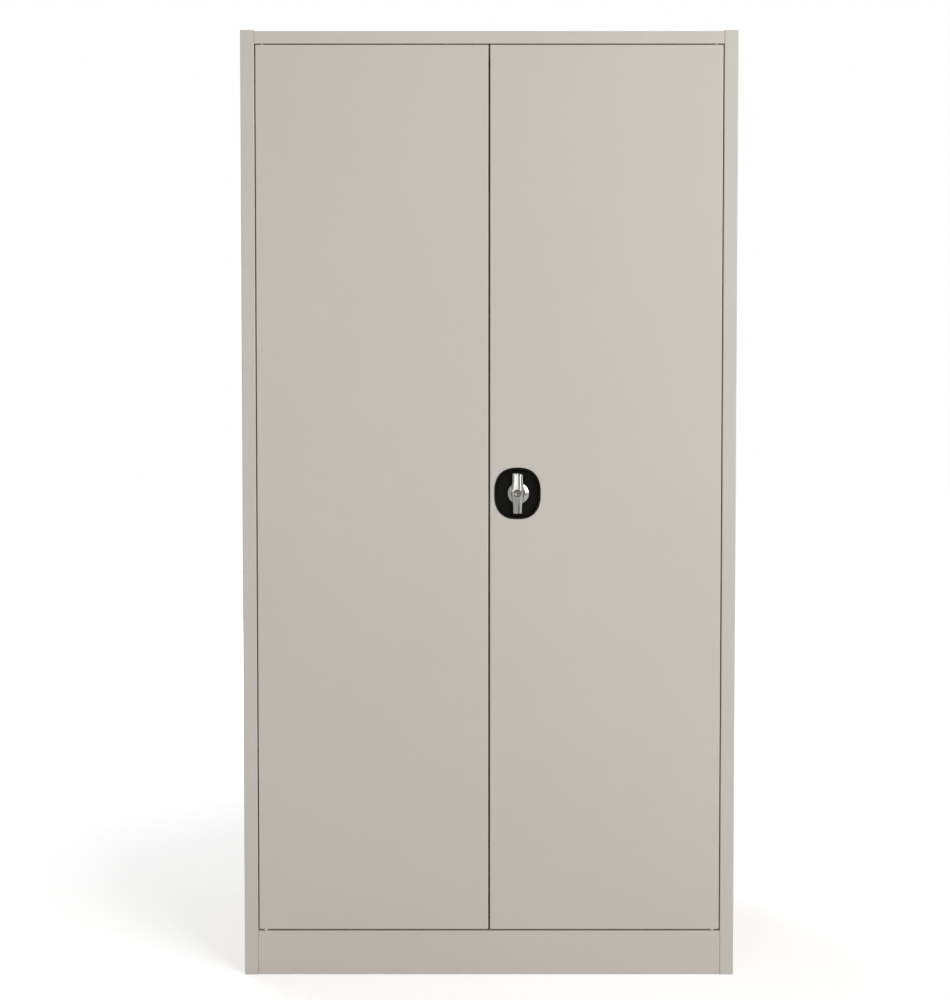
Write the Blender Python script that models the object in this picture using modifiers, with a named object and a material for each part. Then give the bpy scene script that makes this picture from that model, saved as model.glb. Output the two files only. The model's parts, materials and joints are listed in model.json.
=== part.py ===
"""A two-door wardrobe of folded sheet steel, in metres, +Z up.

The front faces -Y and the origin is the middle of the footprint, on the floor. The doors are shut and the
handle stands upright, which is its unlocked position.
"""

import math

import bmesh
import bpy
from mathutils import Matrix, Vector

# Carcass
carcass_width = 0.940
carcass_depth = 0.500
carcass_height = 1.800
sheet = 0.0010
fold_radius = 0.0016
fold_steps = 2
fit_gap = 0.0003
relief = 0.003

# Side panels: the front post is a flange, a return and a lip
post_width = 0.0262
post_depth = 0.0250
post_lip = 0.0120
post_cap_thickness = 0.0012
rear_flange = 0.0200
base_flange = 0.0250

# Top panel and plinth, with a rebate that the doors shut against
top_drop = 0.0015
top_rail_height = 0.0237
rebate_depth = 0.0245
rebate_lip = 0.0160
skirt = 0.0200
plinth_top = 0.0850
plinth_clearance = 0.0018
plinth_foot = 0.0150
floor_below_sill = 0.0010
back_joint_flange = 0.0150

# Doors
door_gap = 0.0030
edge_gap = 0.0020
door_depth = 0.0180
door_lip = 0.0140
stiffener_width = 0.0600
stiffener_depth = 0.0120
stiffener_foot = 0.0140
stiffener_end_gap = 0.0300
bumper_radius = 0.0060
bumper_from_centre = 0.0300
bumper_round = 0.0010

# Hinge pins
pin_inset = 0.0125
pin_setback = 0.0074
pin_radius = 0.0035
pin_reach = 0.0120
pin_head_radius = 0.0060
pin_head_height = 0.0030
pin_stand = 0.0060
washer_radius = 0.0050
pin_round = 0.0008

# Inside fittings
fitting_setback = 0.0350
shelf_flange = 0.0250
hat_shelf_from_top = 0.3000
divider_hem = 0.0150
upright_width = 0.0240
upright_depth = 0.0090
upright_inset = 0.0350
upright_end_gap = 0.0100
slot_pitch = 0.0600
slot_height = 0.0120
slot_width = 0.0100
first_slot = 1
clip_width = 0.0080
clip_sheet = 0.0015
clip_ledge = 0.0120
clip_rise = 0.0200
clip_hook = 0.0050
shelf_side_gap = 0.0010
shelf_slots = (5, 10, 15)
rail_radius = 0.0125
rail_wall = 0.0015
rail_below_shelf = 0.0700
socket_radius = 0.0200
socket_plate = 0.0020
socket_wall = 0.0020
socket_depth = 0.0120

# Lock dish, a rounded rectangle whose outline is a superellipse
lock_from_centre = 0.0540
lock_height = 0.9266
dish_width = 0.0885
dish_height = 0.0980
dish_squareness = 2.5
dish_points = 48
dish_wall = 0.0012
dish_rim = 0.0040
dish_slope = 0.0015
dish_depth = 0.0085
dish_overlap = 0.0022
spindle_hole_radius = 0.0065

# Handle
handle_up = 0.0385
handle_down = 0.0389
hub_width = 0.0247
upper_tip_width = 0.0203
lower_tip_width = 0.0163
hub_proud = 0.0080
tip_proud = 0.0045
edge_fall = 0.0025
outer_edge_fall = 0.0035
blade_back = 0.0030
ridge_share = 0.2
flat_edge_share = 0.8
taper_end_share = 0.625
taper_power = 0.8
blade_columns = 4
blade_rows = 8
tip_round = 0.0035
tip_round_steps = 3
disc_radius = 0.0208
disc_shift = 0.0018
disc_front = 0.0020
disc_round = 0.0012
cylinder_radius = 0.0060
cylinder_sink = 0.0006
cylinder_length = 0.0090
key_slot_width = 0.0018
key_slot_height = 0.0075
key_slot_depth = 0.0030

# Lock works behind the dish
spindle_side = 0.0060
works_gap = 0.0004
cam_thickness = 0.0025
cam_radius = 0.0170
stud_circle = 0.0130
stud_radius = 0.0020
stud_clearance = 0.0004
slot_slack = 0.0006
rod_width = 0.0120
rod_thickness = 0.0030
rod_tip = 0.0040
rod_tip_sink = 0.0020
rod_slot_gap = 0.0005
tongue_width = 0.0160
tongue_thickness = 0.0025
tongue_length = 0.0680
tongue_from_lip = 0.0005
screw_head_radius = 0.0050
screw_head_height = 0.0025
dome_share = 0.85
guide_width = 0.0240
guide_height = 0.0120
guide_wall = 0.0012
guide_from_lock_share = 0.18
guide_from_end_share = 0.88

round_steps = 24
half_round_steps = 6
overrun = 0.0100
crease_angle = math.radians(30)
corner_angle = math.radians(60)
stud_angle = math.radians(45)
merge_distance = 0.00001
quarter_turn = math.radians(90)

# Places that follow from the sizes above
front = -carcass_depth / 2
half_width = carcass_width / 2
inner_half = half_width - sheet
opening_half = half_width - post_width
top_level = carcass_height - top_drop
top_rail_bottom = top_level - top_rail_height
door_top = top_rail_bottom - edge_gap
door_bottom = plinth_top + door_gap
door_outer = opening_half - edge_gap
door_inner = door_gap / 2
door_back = front + door_depth
hinge_x = door_outer - pin_inset
hinge_y = front + pin_setback
rebate_face = front + rebate_depth
floor_level = plinth_top + rebate_lip - floor_below_sill
back_outer = carcass_depth / 2 - sheet - fit_gap
back_inner = back_outer - sheet
fitting_front = front + fitting_setback
hat_shelf_level = carcass_height - hat_shelf_from_top
hat_shelf_underside = hat_shelf_level - shelf_flange
upright_bottom = floor_level + upright_end_gap
upright_length = hat_shelf_underside - upright_end_gap - upright_bottom
slot_count = math.floor(upright_length / slot_pitch)
dish_floor = front + dish_depth
cam_front = dish_floor + dish_wall + works_gap
rod_front = cam_front + cam_thickness + works_gap
tongue_front = door_back + tongue_from_lip
rod_line = stud_circle * (1 + math.sin(stud_angle)) / 2
rod_travel = 2 * stud_circle * math.sin(stud_angle)

lock_place = Vector((lock_from_centre, front, lock_height))


def clear_scene():
    """Removes the startup objects."""
    for obj in list(bpy.data.objects):
        bpy.data.objects.remove(obj)


def new_collection(name):
    """A collection linked to the scene."""
    made = bpy.data.collections.new(name)
    bpy.context.scene.collection.children.link(made)
    return made


def finish(name, colour, roughness, metallic):
    """A Principled material with one colour."""
    made = bpy.data.materials.new(name)
    made.use_nodes = True
    shader = made.node_tree.nodes["Principled BSDF"]
    shader.inputs["Base Color"].default_value = (*colour, 1.0)
    shader.inputs["Roughness"].default_value = roughness
    shader.inputs["Metallic"].default_value = metallic
    made.diffuse_color = (*colour, 1.0)
    return made


def made_of(bm, name, material):
    """The bmesh as a named object of the wardrobe."""
    mesh = bpy.data.meshes.new(name)
    bm.to_mesh(mesh)
    bm.free()
    obj = bpy.data.objects.new(name, mesh)
    obj.data.materials.append(material)
    wardrobe.objects.link(obj)
    return obj


def as_cutter(obj):
    """Turns an object into a cutter, which is neither rendered nor built."""
    wardrobe.objects.unlink(obj)
    cutters.objects.link(obj)
    obj.hide_render = True
    obj.display_type = "WIRE"
    return obj


def combine(obj, other, operation="DIFFERENCE"):
    """Cuts the other object from this one, or joins it on."""
    step = obj.modifiers.new(other.name, "BOOLEAN")
    step.object = other
    step.operation = operation
    step.solver = "EXACT"


def rounded(obj, radius, steps=fold_steps):
    """Rounds the object's sharp edges."""
    step = obj.modifiers.new("rounded edges", "BEVEL")
    step.width = radius
    step.segments = steps
    step.limit_method = "ANGLE"
    step.angle_limit = crease_angle
    return obj


def walled(obj, wall):
    """Gives an open surface its wall, on the side that its faces turn away from."""
    step = obj.modifiers.new("wall", "SOLIDIFY")
    step.thickness = wall
    step.offset = -1
    step.use_even_offset = True
    return obj


def folded(obj, wall=sheet):
    """Rounds a sheet's folds and gives it its thickness."""
    return walled(rounded(obj, fold_radius), wall)


def shaded_round(obj):
    """Smooth shading that keeps the edges crisp."""
    obj.data.shade_smooth()
    obj.data.set_sharp_from_angle(angle=crease_angle)
    return obj


def hang(obj, axis_empty):
    """Parents the object to its joint's empty and leaves it where it is."""
    obj.parent = axis_empty
    obj.matrix_parent_inverse = Matrix.Translation(axis_empty.location).inverted()
    return obj


def joint_empty(name, place):
    """An empty on a joint's axis."""
    made = bpy.data.objects.new(name, None)
    made.location = place
    made.empty_display_size = door_depth
    wardrobe.objects.link(made)
    return made


def box(name, low, high, material):
    """A box between two corners."""
    low, high = Vector(low), Vector(high)
    bm = bmesh.new()
    bmesh.ops.create_cube(bm, size=1)
    bmesh.ops.scale(bm, vec=high - low, verts=bm.verts)
    bmesh.ops.translate(bm, vec=(low + high) / 2, verts=bm.verts)
    return made_of(bm, name, material)


def rod_between(name, start, end, radius, material, steps=round_steps):
    """A round bar from one point to another."""
    start, end = Vector(start), Vector(end)
    along = end - start
    bm = bmesh.new()
    bmesh.ops.create_cone(
        bm, cap_ends=True, segments=steps, radius1=radius, radius2=radius, depth=along.length
    )
    bmesh.ops.rotate(
        bm, cent=(0, 0, 0), matrix=along.to_track_quat("Z", "Y").to_matrix(), verts=bm.verts
    )
    bmesh.ops.translate(bm, vec=(start + end) / 2, verts=bm.verts)
    return shaded_round(made_of(bm, name, material))


def turned(name, profile, place, axis, material, steps=round_steps):
    """A turned piece: a profile of (radius, height) pairs, top to bottom on its outer side."""
    bm = bmesh.new()
    points = [bm.verts.new((radius, 0, height)) for radius, height in profile]
    for a, b in zip(points, points[1:]):
        bm.edges.new((a, b))
    if profile[0][0] > 0:
        bm.edges.new((points[-1], points[0]))
    obj = made_of(bm, name, material)
    step = obj.modifiers.new("turned", "SCREW")
    step.steps = step.render_steps = steps
    step.use_merge_vertices = True
    step.merge_threshold = merge_distance
    step.use_smooth_shade = True
    obj.location = place
    obj.rotation_mode = "QUATERNION"
    obj.rotation_quaternion = Vector(axis).to_track_quat("Z", "Y")
    return obj


def facing(bm, outward, place=None):
    """Turns the whole surface so that its first face, or the one nearest a place, looks outward."""
    bmesh.ops.recalc_face_normals(bm, faces=bm.faces)
    bm.faces.ensure_lookup_table()
    face = bm.faces[0]
    if place is not None:
        face = min(bm.faces, key=lambda f: (f.calc_center_median() - place).length)
    if face.normal.dot(Vector(outward)) < 0:
        bmesh.ops.reverse_faces(bm, faces=bm.faces)


def drawn_out(points, run, outward):
    """An open profile drawn out along the run; outward is the way its first stretch faces."""
    bm = bmesh.new()
    corners = [bm.verts.new(p) for p in points]
    edges = [bm.edges.new(pair) for pair in zip(corners, corners[1:])]
    made = bmesh.ops.extrude_edge_only(bm, edges=edges)["geom"]
    far = [part for part in made if isinstance(part, bmesh.types.BMVert)]
    bmesh.ops.translate(bm, vec=run, verts=far)
    first = (Vector(points[0]) + Vector(points[1]) + Vector(run)) / 2
    facing(bm, outward, first)
    return bm


def profile_sheet(name, points, run, outward, material, wall=sheet):
    """A sheet folded along an open profile and drawn out along the run."""
    return folded(made_of(drawn_out(points, run, outward), name, material), wall)


def fold_edge(bm, ends, moves):
    """Folds flanges from the edge between two points, one for each move."""
    verts = [min(bm.verts, key=lambda v: (v.co - Vector(end)).length) for end in ends]
    edge = bm.edges.get(verts)
    for move in moves:
        made = bmesh.ops.extrude_edge_only(bm, edges=[edge])["geom"]
        moved = [part for part in made if isinstance(part, bmesh.types.BMVert)]
        bmesh.ops.translate(bm, vec=move, verts=moved)
        edge = bm.edges.get(moved)


def blank(outline):
    """A flat blank with the given outline, before it is folded."""
    bm = bmesh.new()
    bm.faces.new([bm.verts.new(p) for p in outline])
    return bm


def tray(name, low, high, level, flange, material):
    """A flat sheet with a flange folded down on each side and its corners relieved."""
    (x0, y0), (x1, y1) = low, high
    outline = [
        (x0 + relief, y0, level),
        (x1 - relief, y0, level),
        (x1, y0 + relief, level),
        (x1, y1 - relief, level),
        (x1 - relief, y1, level),
        (x0 + relief, y1, level),
        (x0, y1 - relief, level),
        (x0, y0 + relief, level),
    ]
    bm = blank(outline)
    for start in range(0, len(outline), 2):
        fold_edge(bm, outline[start : start + 2], [(0, 0, -flange)])
    facing(bm, (0, 0, 1))
    return folded(made_of(bm, name, material))


def superellipse(width, height, count=dish_points):
    """Points of a rounded rectangle about the lock, as (x, z) pairs."""
    points = []
    for k in range(count):
        angle = 2 * math.pi * k / count
        c, s = math.cos(angle), math.sin(angle)
        power = 2 / dish_squareness
        x = width / 2 * math.copysign(abs(c) ** power, c)
        z = height / 2 * math.copysign(abs(s) ** power, s)
        points.append((x, z))
    return points


def side_panel(name, side, material):
    """A side wall with its front post, rear flange and base flange; side is -1 for left and 1 for right."""
    outer = side * half_width
    rear = carcass_depth / 2
    base_start = front + post_depth + relief
    base_end = rear - relief
    bm = blank(
        [
            (outer, front, 0),
            (outer, base_start, 0),
            (outer, base_end, 0),
            (outer, rear, 0),
            (outer, rear, carcass_height),
            (outer, front, carcass_height),
        ]
    )
    fold_edge(
        bm,
        [(outer, front, 0), (outer, front, carcass_height)],
        [(-side * post_width, 0, 0), (0, post_depth, 0), (side * post_lip, 0, 0)],
    )
    fold_edge(
        bm, [(outer, rear, 0), (outer, rear, carcass_height)], [(-side * rear_flange, 0, 0)]
    )
    fold_edge(
        bm, [(outer, base_start, 0), (outer, base_end, 0)], [(-side * base_flange, 0, 0)]
    )
    facing(bm, (side, 0, 0))
    return folded(made_of(bm, name, material))


def post_cap(name, side, material):
    """The small plate that closes a front post at its top."""
    outer = side * (inner_half - fit_gap)
    inner = side * (opening_half + sheet + fit_gap)
    near = front + sheet + fit_gap
    far = front + post_depth - sheet - fit_gap
    top = carcass_height - fit_gap
    low = (min(outer, inner), near, top - post_cap_thickness)
    return box(name, low, (max(outer, inner), far, top), material)


def top_panel(material):
    """The top sheet, notched round the posts, with its front rail and rebate and three down flanges."""
    inner = inner_half - fit_gap
    rail = opening_half - fit_gap
    notch = front + post_depth + fit_gap
    rear = back_inner - fit_gap
    bm = blank(
        [
            (-rail, front, top_level),
            (rail, front, top_level),
            (rail, notch, top_level),
            (inner, notch, top_level),
            (inner, rear - relief, top_level),
            (inner - relief, rear, top_level),
            (relief - inner, rear, top_level),
            (-inner, rear - relief, top_level),
            (-inner, notch, top_level),
            (-rail, notch, top_level),
        ]
    )
    fold_edge(
        bm,
        [(-rail, front, top_level), (rail, front, top_level)],
        [(0, 0, -top_rail_height), (0, rebate_depth, 0), (0, 0, -rebate_lip)],
    )
    for side in (-1, 1):
        ends = [(side * inner, notch, top_level), (side * inner, rear - relief, top_level)]
        fold_edge(bm, ends, [(0, 0, -skirt)])
    rear_ends = [(inner - relief, rear, top_level), (relief - inner, rear, top_level)]
    fold_edge(bm, rear_ends, [(0, 0, -skirt)])
    facing(bm, (0, 0, 1))
    return folded(made_of(bm, "top_panel", material))


def plinth(material):
    """The front kick plate: a foot return, the face, the sill that carries the doors, and the rebate lip."""
    left = fit_gap - opening_half
    points = [
        (left, front + plinth_foot, plinth_clearance),
        (left, front, plinth_clearance),
        (left, front, plinth_top),
        (left, rebate_face, plinth_top),
        (left, rebate_face, plinth_top + rebate_lip),
    ]
    run = (2 * (opening_half - fit_gap), 0, 0)
    return profile_sheet("plinth", points, run, (0, 0, -1), material)


def back_panel(name, side, material):
    """Half of the back, with a flange folded forward where the two halves meet."""
    outer = side * (inner_half - fit_gap)
    middle = side * fit_gap / 2
    bottom = plinth_clearance
    flange_start = floor_level + fit_gap
    flange_end = top_level - skirt - relief
    bm = blank(
        [
            (outer, back_outer, bottom),
            (middle, back_outer, bottom),
            (middle, back_outer, flange_start),
            (middle, back_outer, flange_end),
            (middle, back_outer, top_level),
            (outer, back_outer, top_level),
        ]
    )
    ends = [(middle, back_outer, flange_start), (middle, back_outer, flange_end)]
    fold_edge(bm, ends, [(0, -back_joint_flange, 0)])
    facing(bm, (0, 1, 0))
    return folded(made_of(bm, name, material))


def floor_panel(material):
    """The bottom shelf, behind the sill."""
    inner = inner_half - fit_gap
    low = (-inner, rebate_face + sheet + fit_gap)
    high = (inner, back_inner - fit_gap)
    return tray("floor_panel", low, high, floor_level, shelf_flange, material)


def hat_shelf(material):
    """The shelf across the whole width, over both compartments."""
    inner = inner_half - fit_gap
    rear = back_outer - back_joint_flange - fit_gap
    return tray(
        "hat_shelf", (-inner, fitting_front), (inner, rear), hat_shelf_level, shelf_flange, material
    )


def divider(material):
    """The upright sheet between the two compartments, with a hem at its front."""
    bottom = floor_level + fit_gap
    rear = back_outer - back_joint_flange - fit_gap
    points = [
        (divider_hem, fitting_front, bottom),
        (-sheet / 2, fitting_front, bottom),
        (-sheet / 2, rear, bottom),
    ]
    run = (0, 0, hat_shelf_underside - fit_gap - bottom)
    return profile_sheet("divider", points, run, (0, -1, 0), material)


def upright_place(row):
    """The middle of the front or rear row of uprights, in depth."""
    rear = back_outer - back_joint_flange
    return {"front": fitting_front + upright_inset, "rear": rear - upright_inset}[row]


def shelf_upright(name, wall_x, side, row, slots, material):
    """A slotted channel against a wall; side is the way its web faces."""
    middle = upright_place(row)
    low, high = middle - upright_width / 2, middle + upright_width / 2
    foot = wall_x + side * fit_gap
    web = wall_x + side * upright_depth
    points = [
        (foot, low, upright_bottom),
        (web, low, upright_bottom),
        (web, high, upright_bottom),
        (foot, high, upright_bottom),
    ]
    run = (0, 0, upright_length)
    obj = profile_sheet(name, points, run, (0, -1, 0), material)
    combine(obj, slots)
    return obj


def slot_level(number):
    """The bottom of a numbered slot."""
    return upright_bottom + number * slot_pitch


def slot_cutter(wall_x, side, row, material):
    """A column of blocks that cuts an upright's slots."""
    middle = upright_place(row)
    web = wall_x + side * upright_depth
    near, far = sorted((web - side * 2 * sheet, web + side * 2 * sheet))
    low = (near, middle - slot_width / 2, slot_level(first_slot))
    high = (far, middle + slot_width / 2, slot_level(first_slot) + slot_height)
    obj = box("slots_" + row + ("_left" if side > 0 else "_right"), low, high, material)
    step = obj.modifiers.new("column", "ARRAY")
    step.count = slot_count
    step.use_relative_offset = False
    step.use_constant_offset = True
    step.constant_offset_displace = (0, 0, slot_pitch)
    return as_cutter(obj)


def shelf_clip(name, wall_x, side, row, number, material):
    """A bent clip that hooks through a slot and carries one corner of a shelf."""
    middle = upright_place(row)
    web = wall_x + side * upright_depth
    face = web + side * fit_gap
    behind = web - side * (sheet + fit_gap)
    hook_level = slot_level(number) + slot_height - fit_gap
    ledge_level = hook_level - clip_rise
    start = middle - clip_width / 2
    points = [
        (face + side * (clip_sheet + clip_ledge), start, ledge_level),
        (face + side * clip_sheet, start, ledge_level),
        (face + side * clip_sheet, start, hook_level),
        (behind - side * clip_sheet, start, hook_level),
        (behind - side * clip_sheet, start, hook_level - clip_hook),
    ]
    bm = drawn_out(points, (0, clip_width, 0), (0, 0, 1))
    return walled(made_of(bm, name, material), clip_sheet)


def shelf(name, number, material):
    """An adjustable shelf of the left compartment, resting on the clips at one slot."""
    side_room = upright_depth + fit_gap + clip_sheet + shelf_side_gap
    hook_level = slot_level(number) + slot_height - fit_gap
    level = hook_level - clip_rise + fit_gap + shelf_flange
    low = (-inner_half + side_room, fitting_front)
    high = (-sheet / 2 - side_room, back_outer - back_joint_flange - fit_gap)
    return tray(name, low, high, level, shelf_flange, material)


def hanging_rail(material):
    """The round tube across the right compartment."""
    left = sheet / 2 + fit_gap + socket_plate + fit_gap
    right = inner_half - fit_gap - socket_plate - fit_gap
    bm = bmesh.new()
    bmesh.ops.create_cone(
        bm,
        cap_ends=False,
        segments=round_steps,
        radius1=rail_radius,
        radius2=rail_radius,
        depth=right - left,
    )
    turn = Matrix.Rotation(quarter_turn, 3, "Y")
    bmesh.ops.rotate(bm, cent=(0, 0, 0), matrix=turn, verts=bm.verts)
    middle_y = (fitting_front + back_inner) / 2
    place = ((left + right) / 2, middle_y, hat_shelf_underside - rail_below_shelf)
    bmesh.ops.translate(bm, vec=place, verts=bm.verts)
    obj = walled(made_of(bm, "hanging_rail", material), rail_wall)
    return shaded_round(obj)


def rail_socket(name, wall_x, side, material):
    """The cup that holds one end of the hanging rail."""
    inside = rail_radius + fit_gap
    cup = inside + socket_wall
    profile = [
        (0, socket_plate),
        (inside, socket_plate),
        (inside, socket_depth),
        (cup, socket_depth),
        (cup, socket_plate),
        (socket_radius, socket_plate),
        (socket_radius, 0),
        (0, 0),
    ]
    middle_y = (fitting_front + back_inner) / 2
    place = (wall_x + side * fit_gap, middle_y, hat_shelf_underside - rail_below_shelf)
    return turned(name, profile, place, (side, 0, 0), material)


def door_panel(name, side, material):
    """A door pan: the face, four returns and a lip all round, open at the back."""
    low, high = sorted((side * door_outer, side * door_inner))
    bm = bmesh.new()
    bmesh.ops.create_cube(bm, size=1)
    bmesh.ops.scale(bm, vec=(high - low, door_depth, door_top - door_bottom), verts=bm.verts)
    middle = ((low + high) / 2, (front + door_back) / 2, (door_bottom + door_top) / 2)
    bmesh.ops.translate(bm, vec=middle, verts=bm.verts)
    back = max(bm.faces, key=lambda face: face.calc_center_median().y)
    bmesh.ops.inset_region(bm, faces=[back], thickness=door_lip, use_even_offset=True)
    bmesh.ops.delete(bm, geom=[back], context="FACES_ONLY")
    bmesh.ops.recalc_face_normals(bm, faces=bm.faces)
    face = min(bm.faces, key=lambda f: f.calc_center_median().y)
    if face.normal.y > 0:
        bmesh.ops.reverse_faces(bm, faces=bm.faces)
    return folded(made_of(bm, name, material))


def door_stiffener(name, side, material):
    """A hat channel along the inside of a door's face."""
    middle = side * (door_inner + door_outer) / 2
    sole = front + sheet + fit_gap + sheet
    crown = sole + stiffener_depth
    bottom = door_bottom + stiffener_end_gap
    half = stiffener_width / 2
    points = [
        (middle - half - stiffener_foot, sole, bottom),
        (middle - half, sole, bottom),
        (middle - half, crown, bottom),
        (middle + half, crown, bottom),
        (middle + half, sole, bottom),
        (middle + half + stiffener_foot, sole, bottom),
    ]
    run = (0, 0, door_top - door_bottom - 2 * stiffener_end_gap)
    return profile_sheet(name, points, run, (0, 1, 0), material)


def pin_profile(shank, reach):
    """A headed pin, its head at the bottom; reach is the length of its shank."""
    return [
        (0, pin_head_height + reach),
        (shank - pin_round, pin_head_height + reach),
        (shank, pin_head_height + reach - pin_round),
        (shank, pin_head_height),
        (pin_head_radius, pin_head_height),
        (pin_head_radius, 0),
        (0, 0),
    ]


def lower_pin(name, side, material):
    """The pin that stands up through the sill into a door's bottom edge."""
    reach = fit_gap + sheet + door_gap + pin_reach
    place = (side * hinge_x, hinge_y, plinth_top - sheet - fit_gap - pin_head_height)
    return turned(name, pin_profile(pin_radius, reach), place, (0, 0, 1), material)


def upper_pin(name, side, material):
    """The pin in a door's top edge that turns in the top rail."""
    reach = fit_gap + sheet + edge_gap + sheet + pin_stand
    place = (side * hinge_x, hinge_y, door_top - sheet - fit_gap - pin_head_height)
    return turned(name, pin_profile(pin_radius, reach), place, (0, 0, 1), material)


def pin_washer(name, side, material):
    """The ring on a lower pin that carries the door."""
    bore = pin_radius + fit_gap
    profile = [
        (bore, door_gap - fit_gap),
        (washer_radius, door_gap - fit_gap),
        (washer_radius, fit_gap),
        (bore, fit_gap),
    ]
    return turned(name, profile, (side * hinge_x, hinge_y, plinth_top), (0, 0, 1), material)


def bumper(name, side, level, material):
    """A rubber button on the rebate lip that the door shuts against."""
    length = rebate_face - door_back - 2 * fit_gap
    profile = [
        (0, length),
        (bumper_radius - bumper_round, length),
        (bumper_radius, length - bumper_round),
        (bumper_radius, 0),
        (0, 0),
    ]
    place = (side * bumper_from_centre, rebate_face - fit_gap, level)
    return turned(name, profile, place, (0, -1, 0), material)


def lock_ring(bm, inset, depth):
    """The points of the dish about the lock's axis, at an inset from its outline and a depth."""
    points = superellipse(dish_width - 2 * inset, dish_height - 2 * inset)
    return [bm.verts.new((x, depth, z)) for x, z in points]


def round_ring(bm, radius, depth):
    """Points on a circle about the lock's axis, spaced as those of the dish."""
    ring = []
    for k in range(dish_points):
        angle = 2 * math.pi * k / dish_points
        ring.append(bm.verts.new((radius * math.cos(angle), depth, radius * math.sin(angle))))
    return ring


def ring_edges(bm, ring):
    """The closed loop of edges through a ring of points."""
    return [bm.edges.new((a, b)) for a, b in zip(ring, ring[1:] + ring[:1])]


def lock_dish(material):
    """The black dish: a rim on the door's face, a sloping wall and a floor with the spindle's hole."""
    rim_front = -dish_wall - fit_gap
    depths = (rim_front, rim_front, dish_depth, dish_depth)
    apart = [overrun * number for number in range(len(depths))]
    bm = bmesh.new()
    rings = [
        lock_ring(bm, 0, apart[0]),
        lock_ring(bm, dish_rim, apart[1]),
        lock_ring(bm, dish_rim + dish_slope, apart[2]),
        round_ring(bm, spindle_hole_radius, apart[3]),
    ]
    loops = [ring_edges(bm, ring) for ring in rings]
    for outer, inner in zip(loops, loops[1:]):
        bmesh.ops.bridge_loops(bm, edges=outer + inner)
    for ring, depth in zip(rings, depths):
        for vert in ring:
            vert.co.y = depth
    facing(bm, (0, -1, 0))
    bmesh.ops.translate(bm, vec=lock_place, verts=bm.verts)
    return walled(made_of(bm, "lock_dish", material), dish_wall)


def lock_cutout(material):
    """The cutter for the dish's opening in the right door."""
    bm = bmesh.new()
    rings = [lock_ring(bm, dish_overlap, depth) for depth in (-overrun, overrun)]
    loops = [ring_edges(bm, ring) for ring in rings]
    bmesh.ops.bridge_loops(bm, edges=loops[0] + loops[1])
    for ring in rings:
        bm.faces.new(ring)
    bmesh.ops.recalc_face_normals(bm, faces=bm.faces)
    bmesh.ops.translate(bm, vec=lock_place, verts=bm.verts)
    return as_cutter(made_of(bm, "lock_cutout", material))


def blade_width(share):
    """The handle's width at a share of its length from the hub, -1 at the lower tip and 1 at the upper."""
    tip = upper_tip_width if share > 0 else lower_tip_width
    tapered = min(1, abs(share) / taper_end_share) ** taper_power
    return hub_width + (tip - hub_width) * tapered


def is_corner(edge):
    """Whether an edge of the bar runs from front to back at one of its four corners."""
    run = edge.verts[0].co - edge.verts[1].co
    runs_back = abs(run.x) < fit_gap and abs(run.z) < fit_gap
    return runs_back and edge.calc_face_angle() > corner_angle


def handle_blade(material):
    """The handle's bar: a ridge off its middle, low at both tips and highest at the hub."""
    stations = (-1, -flat_edge_share, ridge_share, flat_edge_share, 1)
    falls = (outer_edge_fall, edge_fall, 0, edge_fall, outer_edge_fall)
    bm = bmesh.new()
    bmesh.ops.create_grid(bm, x_segments=blade_columns, y_segments=blade_rows, size=1)
    for vert in bm.verts:
        column = round((vert.co.x + 1) / 2 * blade_columns)
        share = vert.co.y
        reach = handle_up if share > 0 else handle_down
        height = tip_proud + (hub_proud - tip_proud) * (1 - abs(share))
        x = stations[column] * blade_width(share) / 2
        vert.co = Vector((x, falls[column] - height, share * reach))
    made = bmesh.ops.extrude_face_region(bm, geom=list(bm.faces))["geom"]
    back = [part for part in made if isinstance(part, bmesh.types.BMVert)]
    for vert in back:
        vert.co.y = blade_back
    bmesh.ops.recalc_face_normals(bm, faces=bm.faces)
    corners = [edge for edge in bm.edges if is_corner(edge)]
    bmesh.ops.bevel(
        bm,
        geom=corners,
        offset=tip_round,
        segments=tip_round_steps,
        profile=0.5,
        affect="EDGES",
        material=-1,
    )
    bmesh.ops.translate(bm, vec=lock_place, verts=bm.verts)
    return made_of(bm, "handle", material)


def handle(material):
    """The handle: its bar joined to the round disc behind it, with the bore for the lock cylinder."""
    bar = handle_blade(material)
    disc_back = dish_depth - fit_gap
    thick = disc_back - disc_front
    profile = [
        (0, thick),
        (disc_radius - disc_round, thick),
        (disc_radius, thick - disc_round),
        (disc_radius, 0),
        (0, 0),
    ]
    disc_place = lock_place + Vector((disc_shift, disc_back, 0))
    disc = as_cutter(turned("handle_disc", profile, disc_place, (0, -1, 0), material, 2 * round_steps))
    combine(bar, disc, "UNION")
    start = lock_place + Vector((0, -hub_proud - overrun, 0))
    end = lock_place + Vector((0, cylinder_sink + cylinder_length - hub_proud, 0))
    bore = as_cutter(rod_between("cylinder_bore", start, end, cylinder_radius + fit_gap, material))
    combine(bar, bore)
    return bar


def lock_cylinder(material):
    """The key plug in the handle's hub, with its keyway."""
    face = cylinder_sink - hub_proud
    start = lock_place + Vector((0, face, 0))
    end = lock_place + Vector((0, face + cylinder_length - fit_gap, 0))
    plug = rod_between("lock_cylinder", start, end, cylinder_radius, material)
    half = Vector((key_slot_width / 2, 0, key_slot_height / 2))
    low = start - half - Vector((0, overrun, 0))
    high = start + half + Vector((0, key_slot_depth, 0))
    combine(plug, as_cutter(box("keyway", low, high, material)))
    return plug


def handle_spindle(material):
    """The square bar that carries the handle's turn to the cam and the tongue."""
    half = spindle_side / 2
    start = dish_depth
    end = tongue_front + tongue_thickness - works_gap - front
    low = lock_place + Vector((-half, start, -half))
    high = lock_place + Vector((half, end, half))
    return box("handle_spindle", low, high, material)


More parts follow.
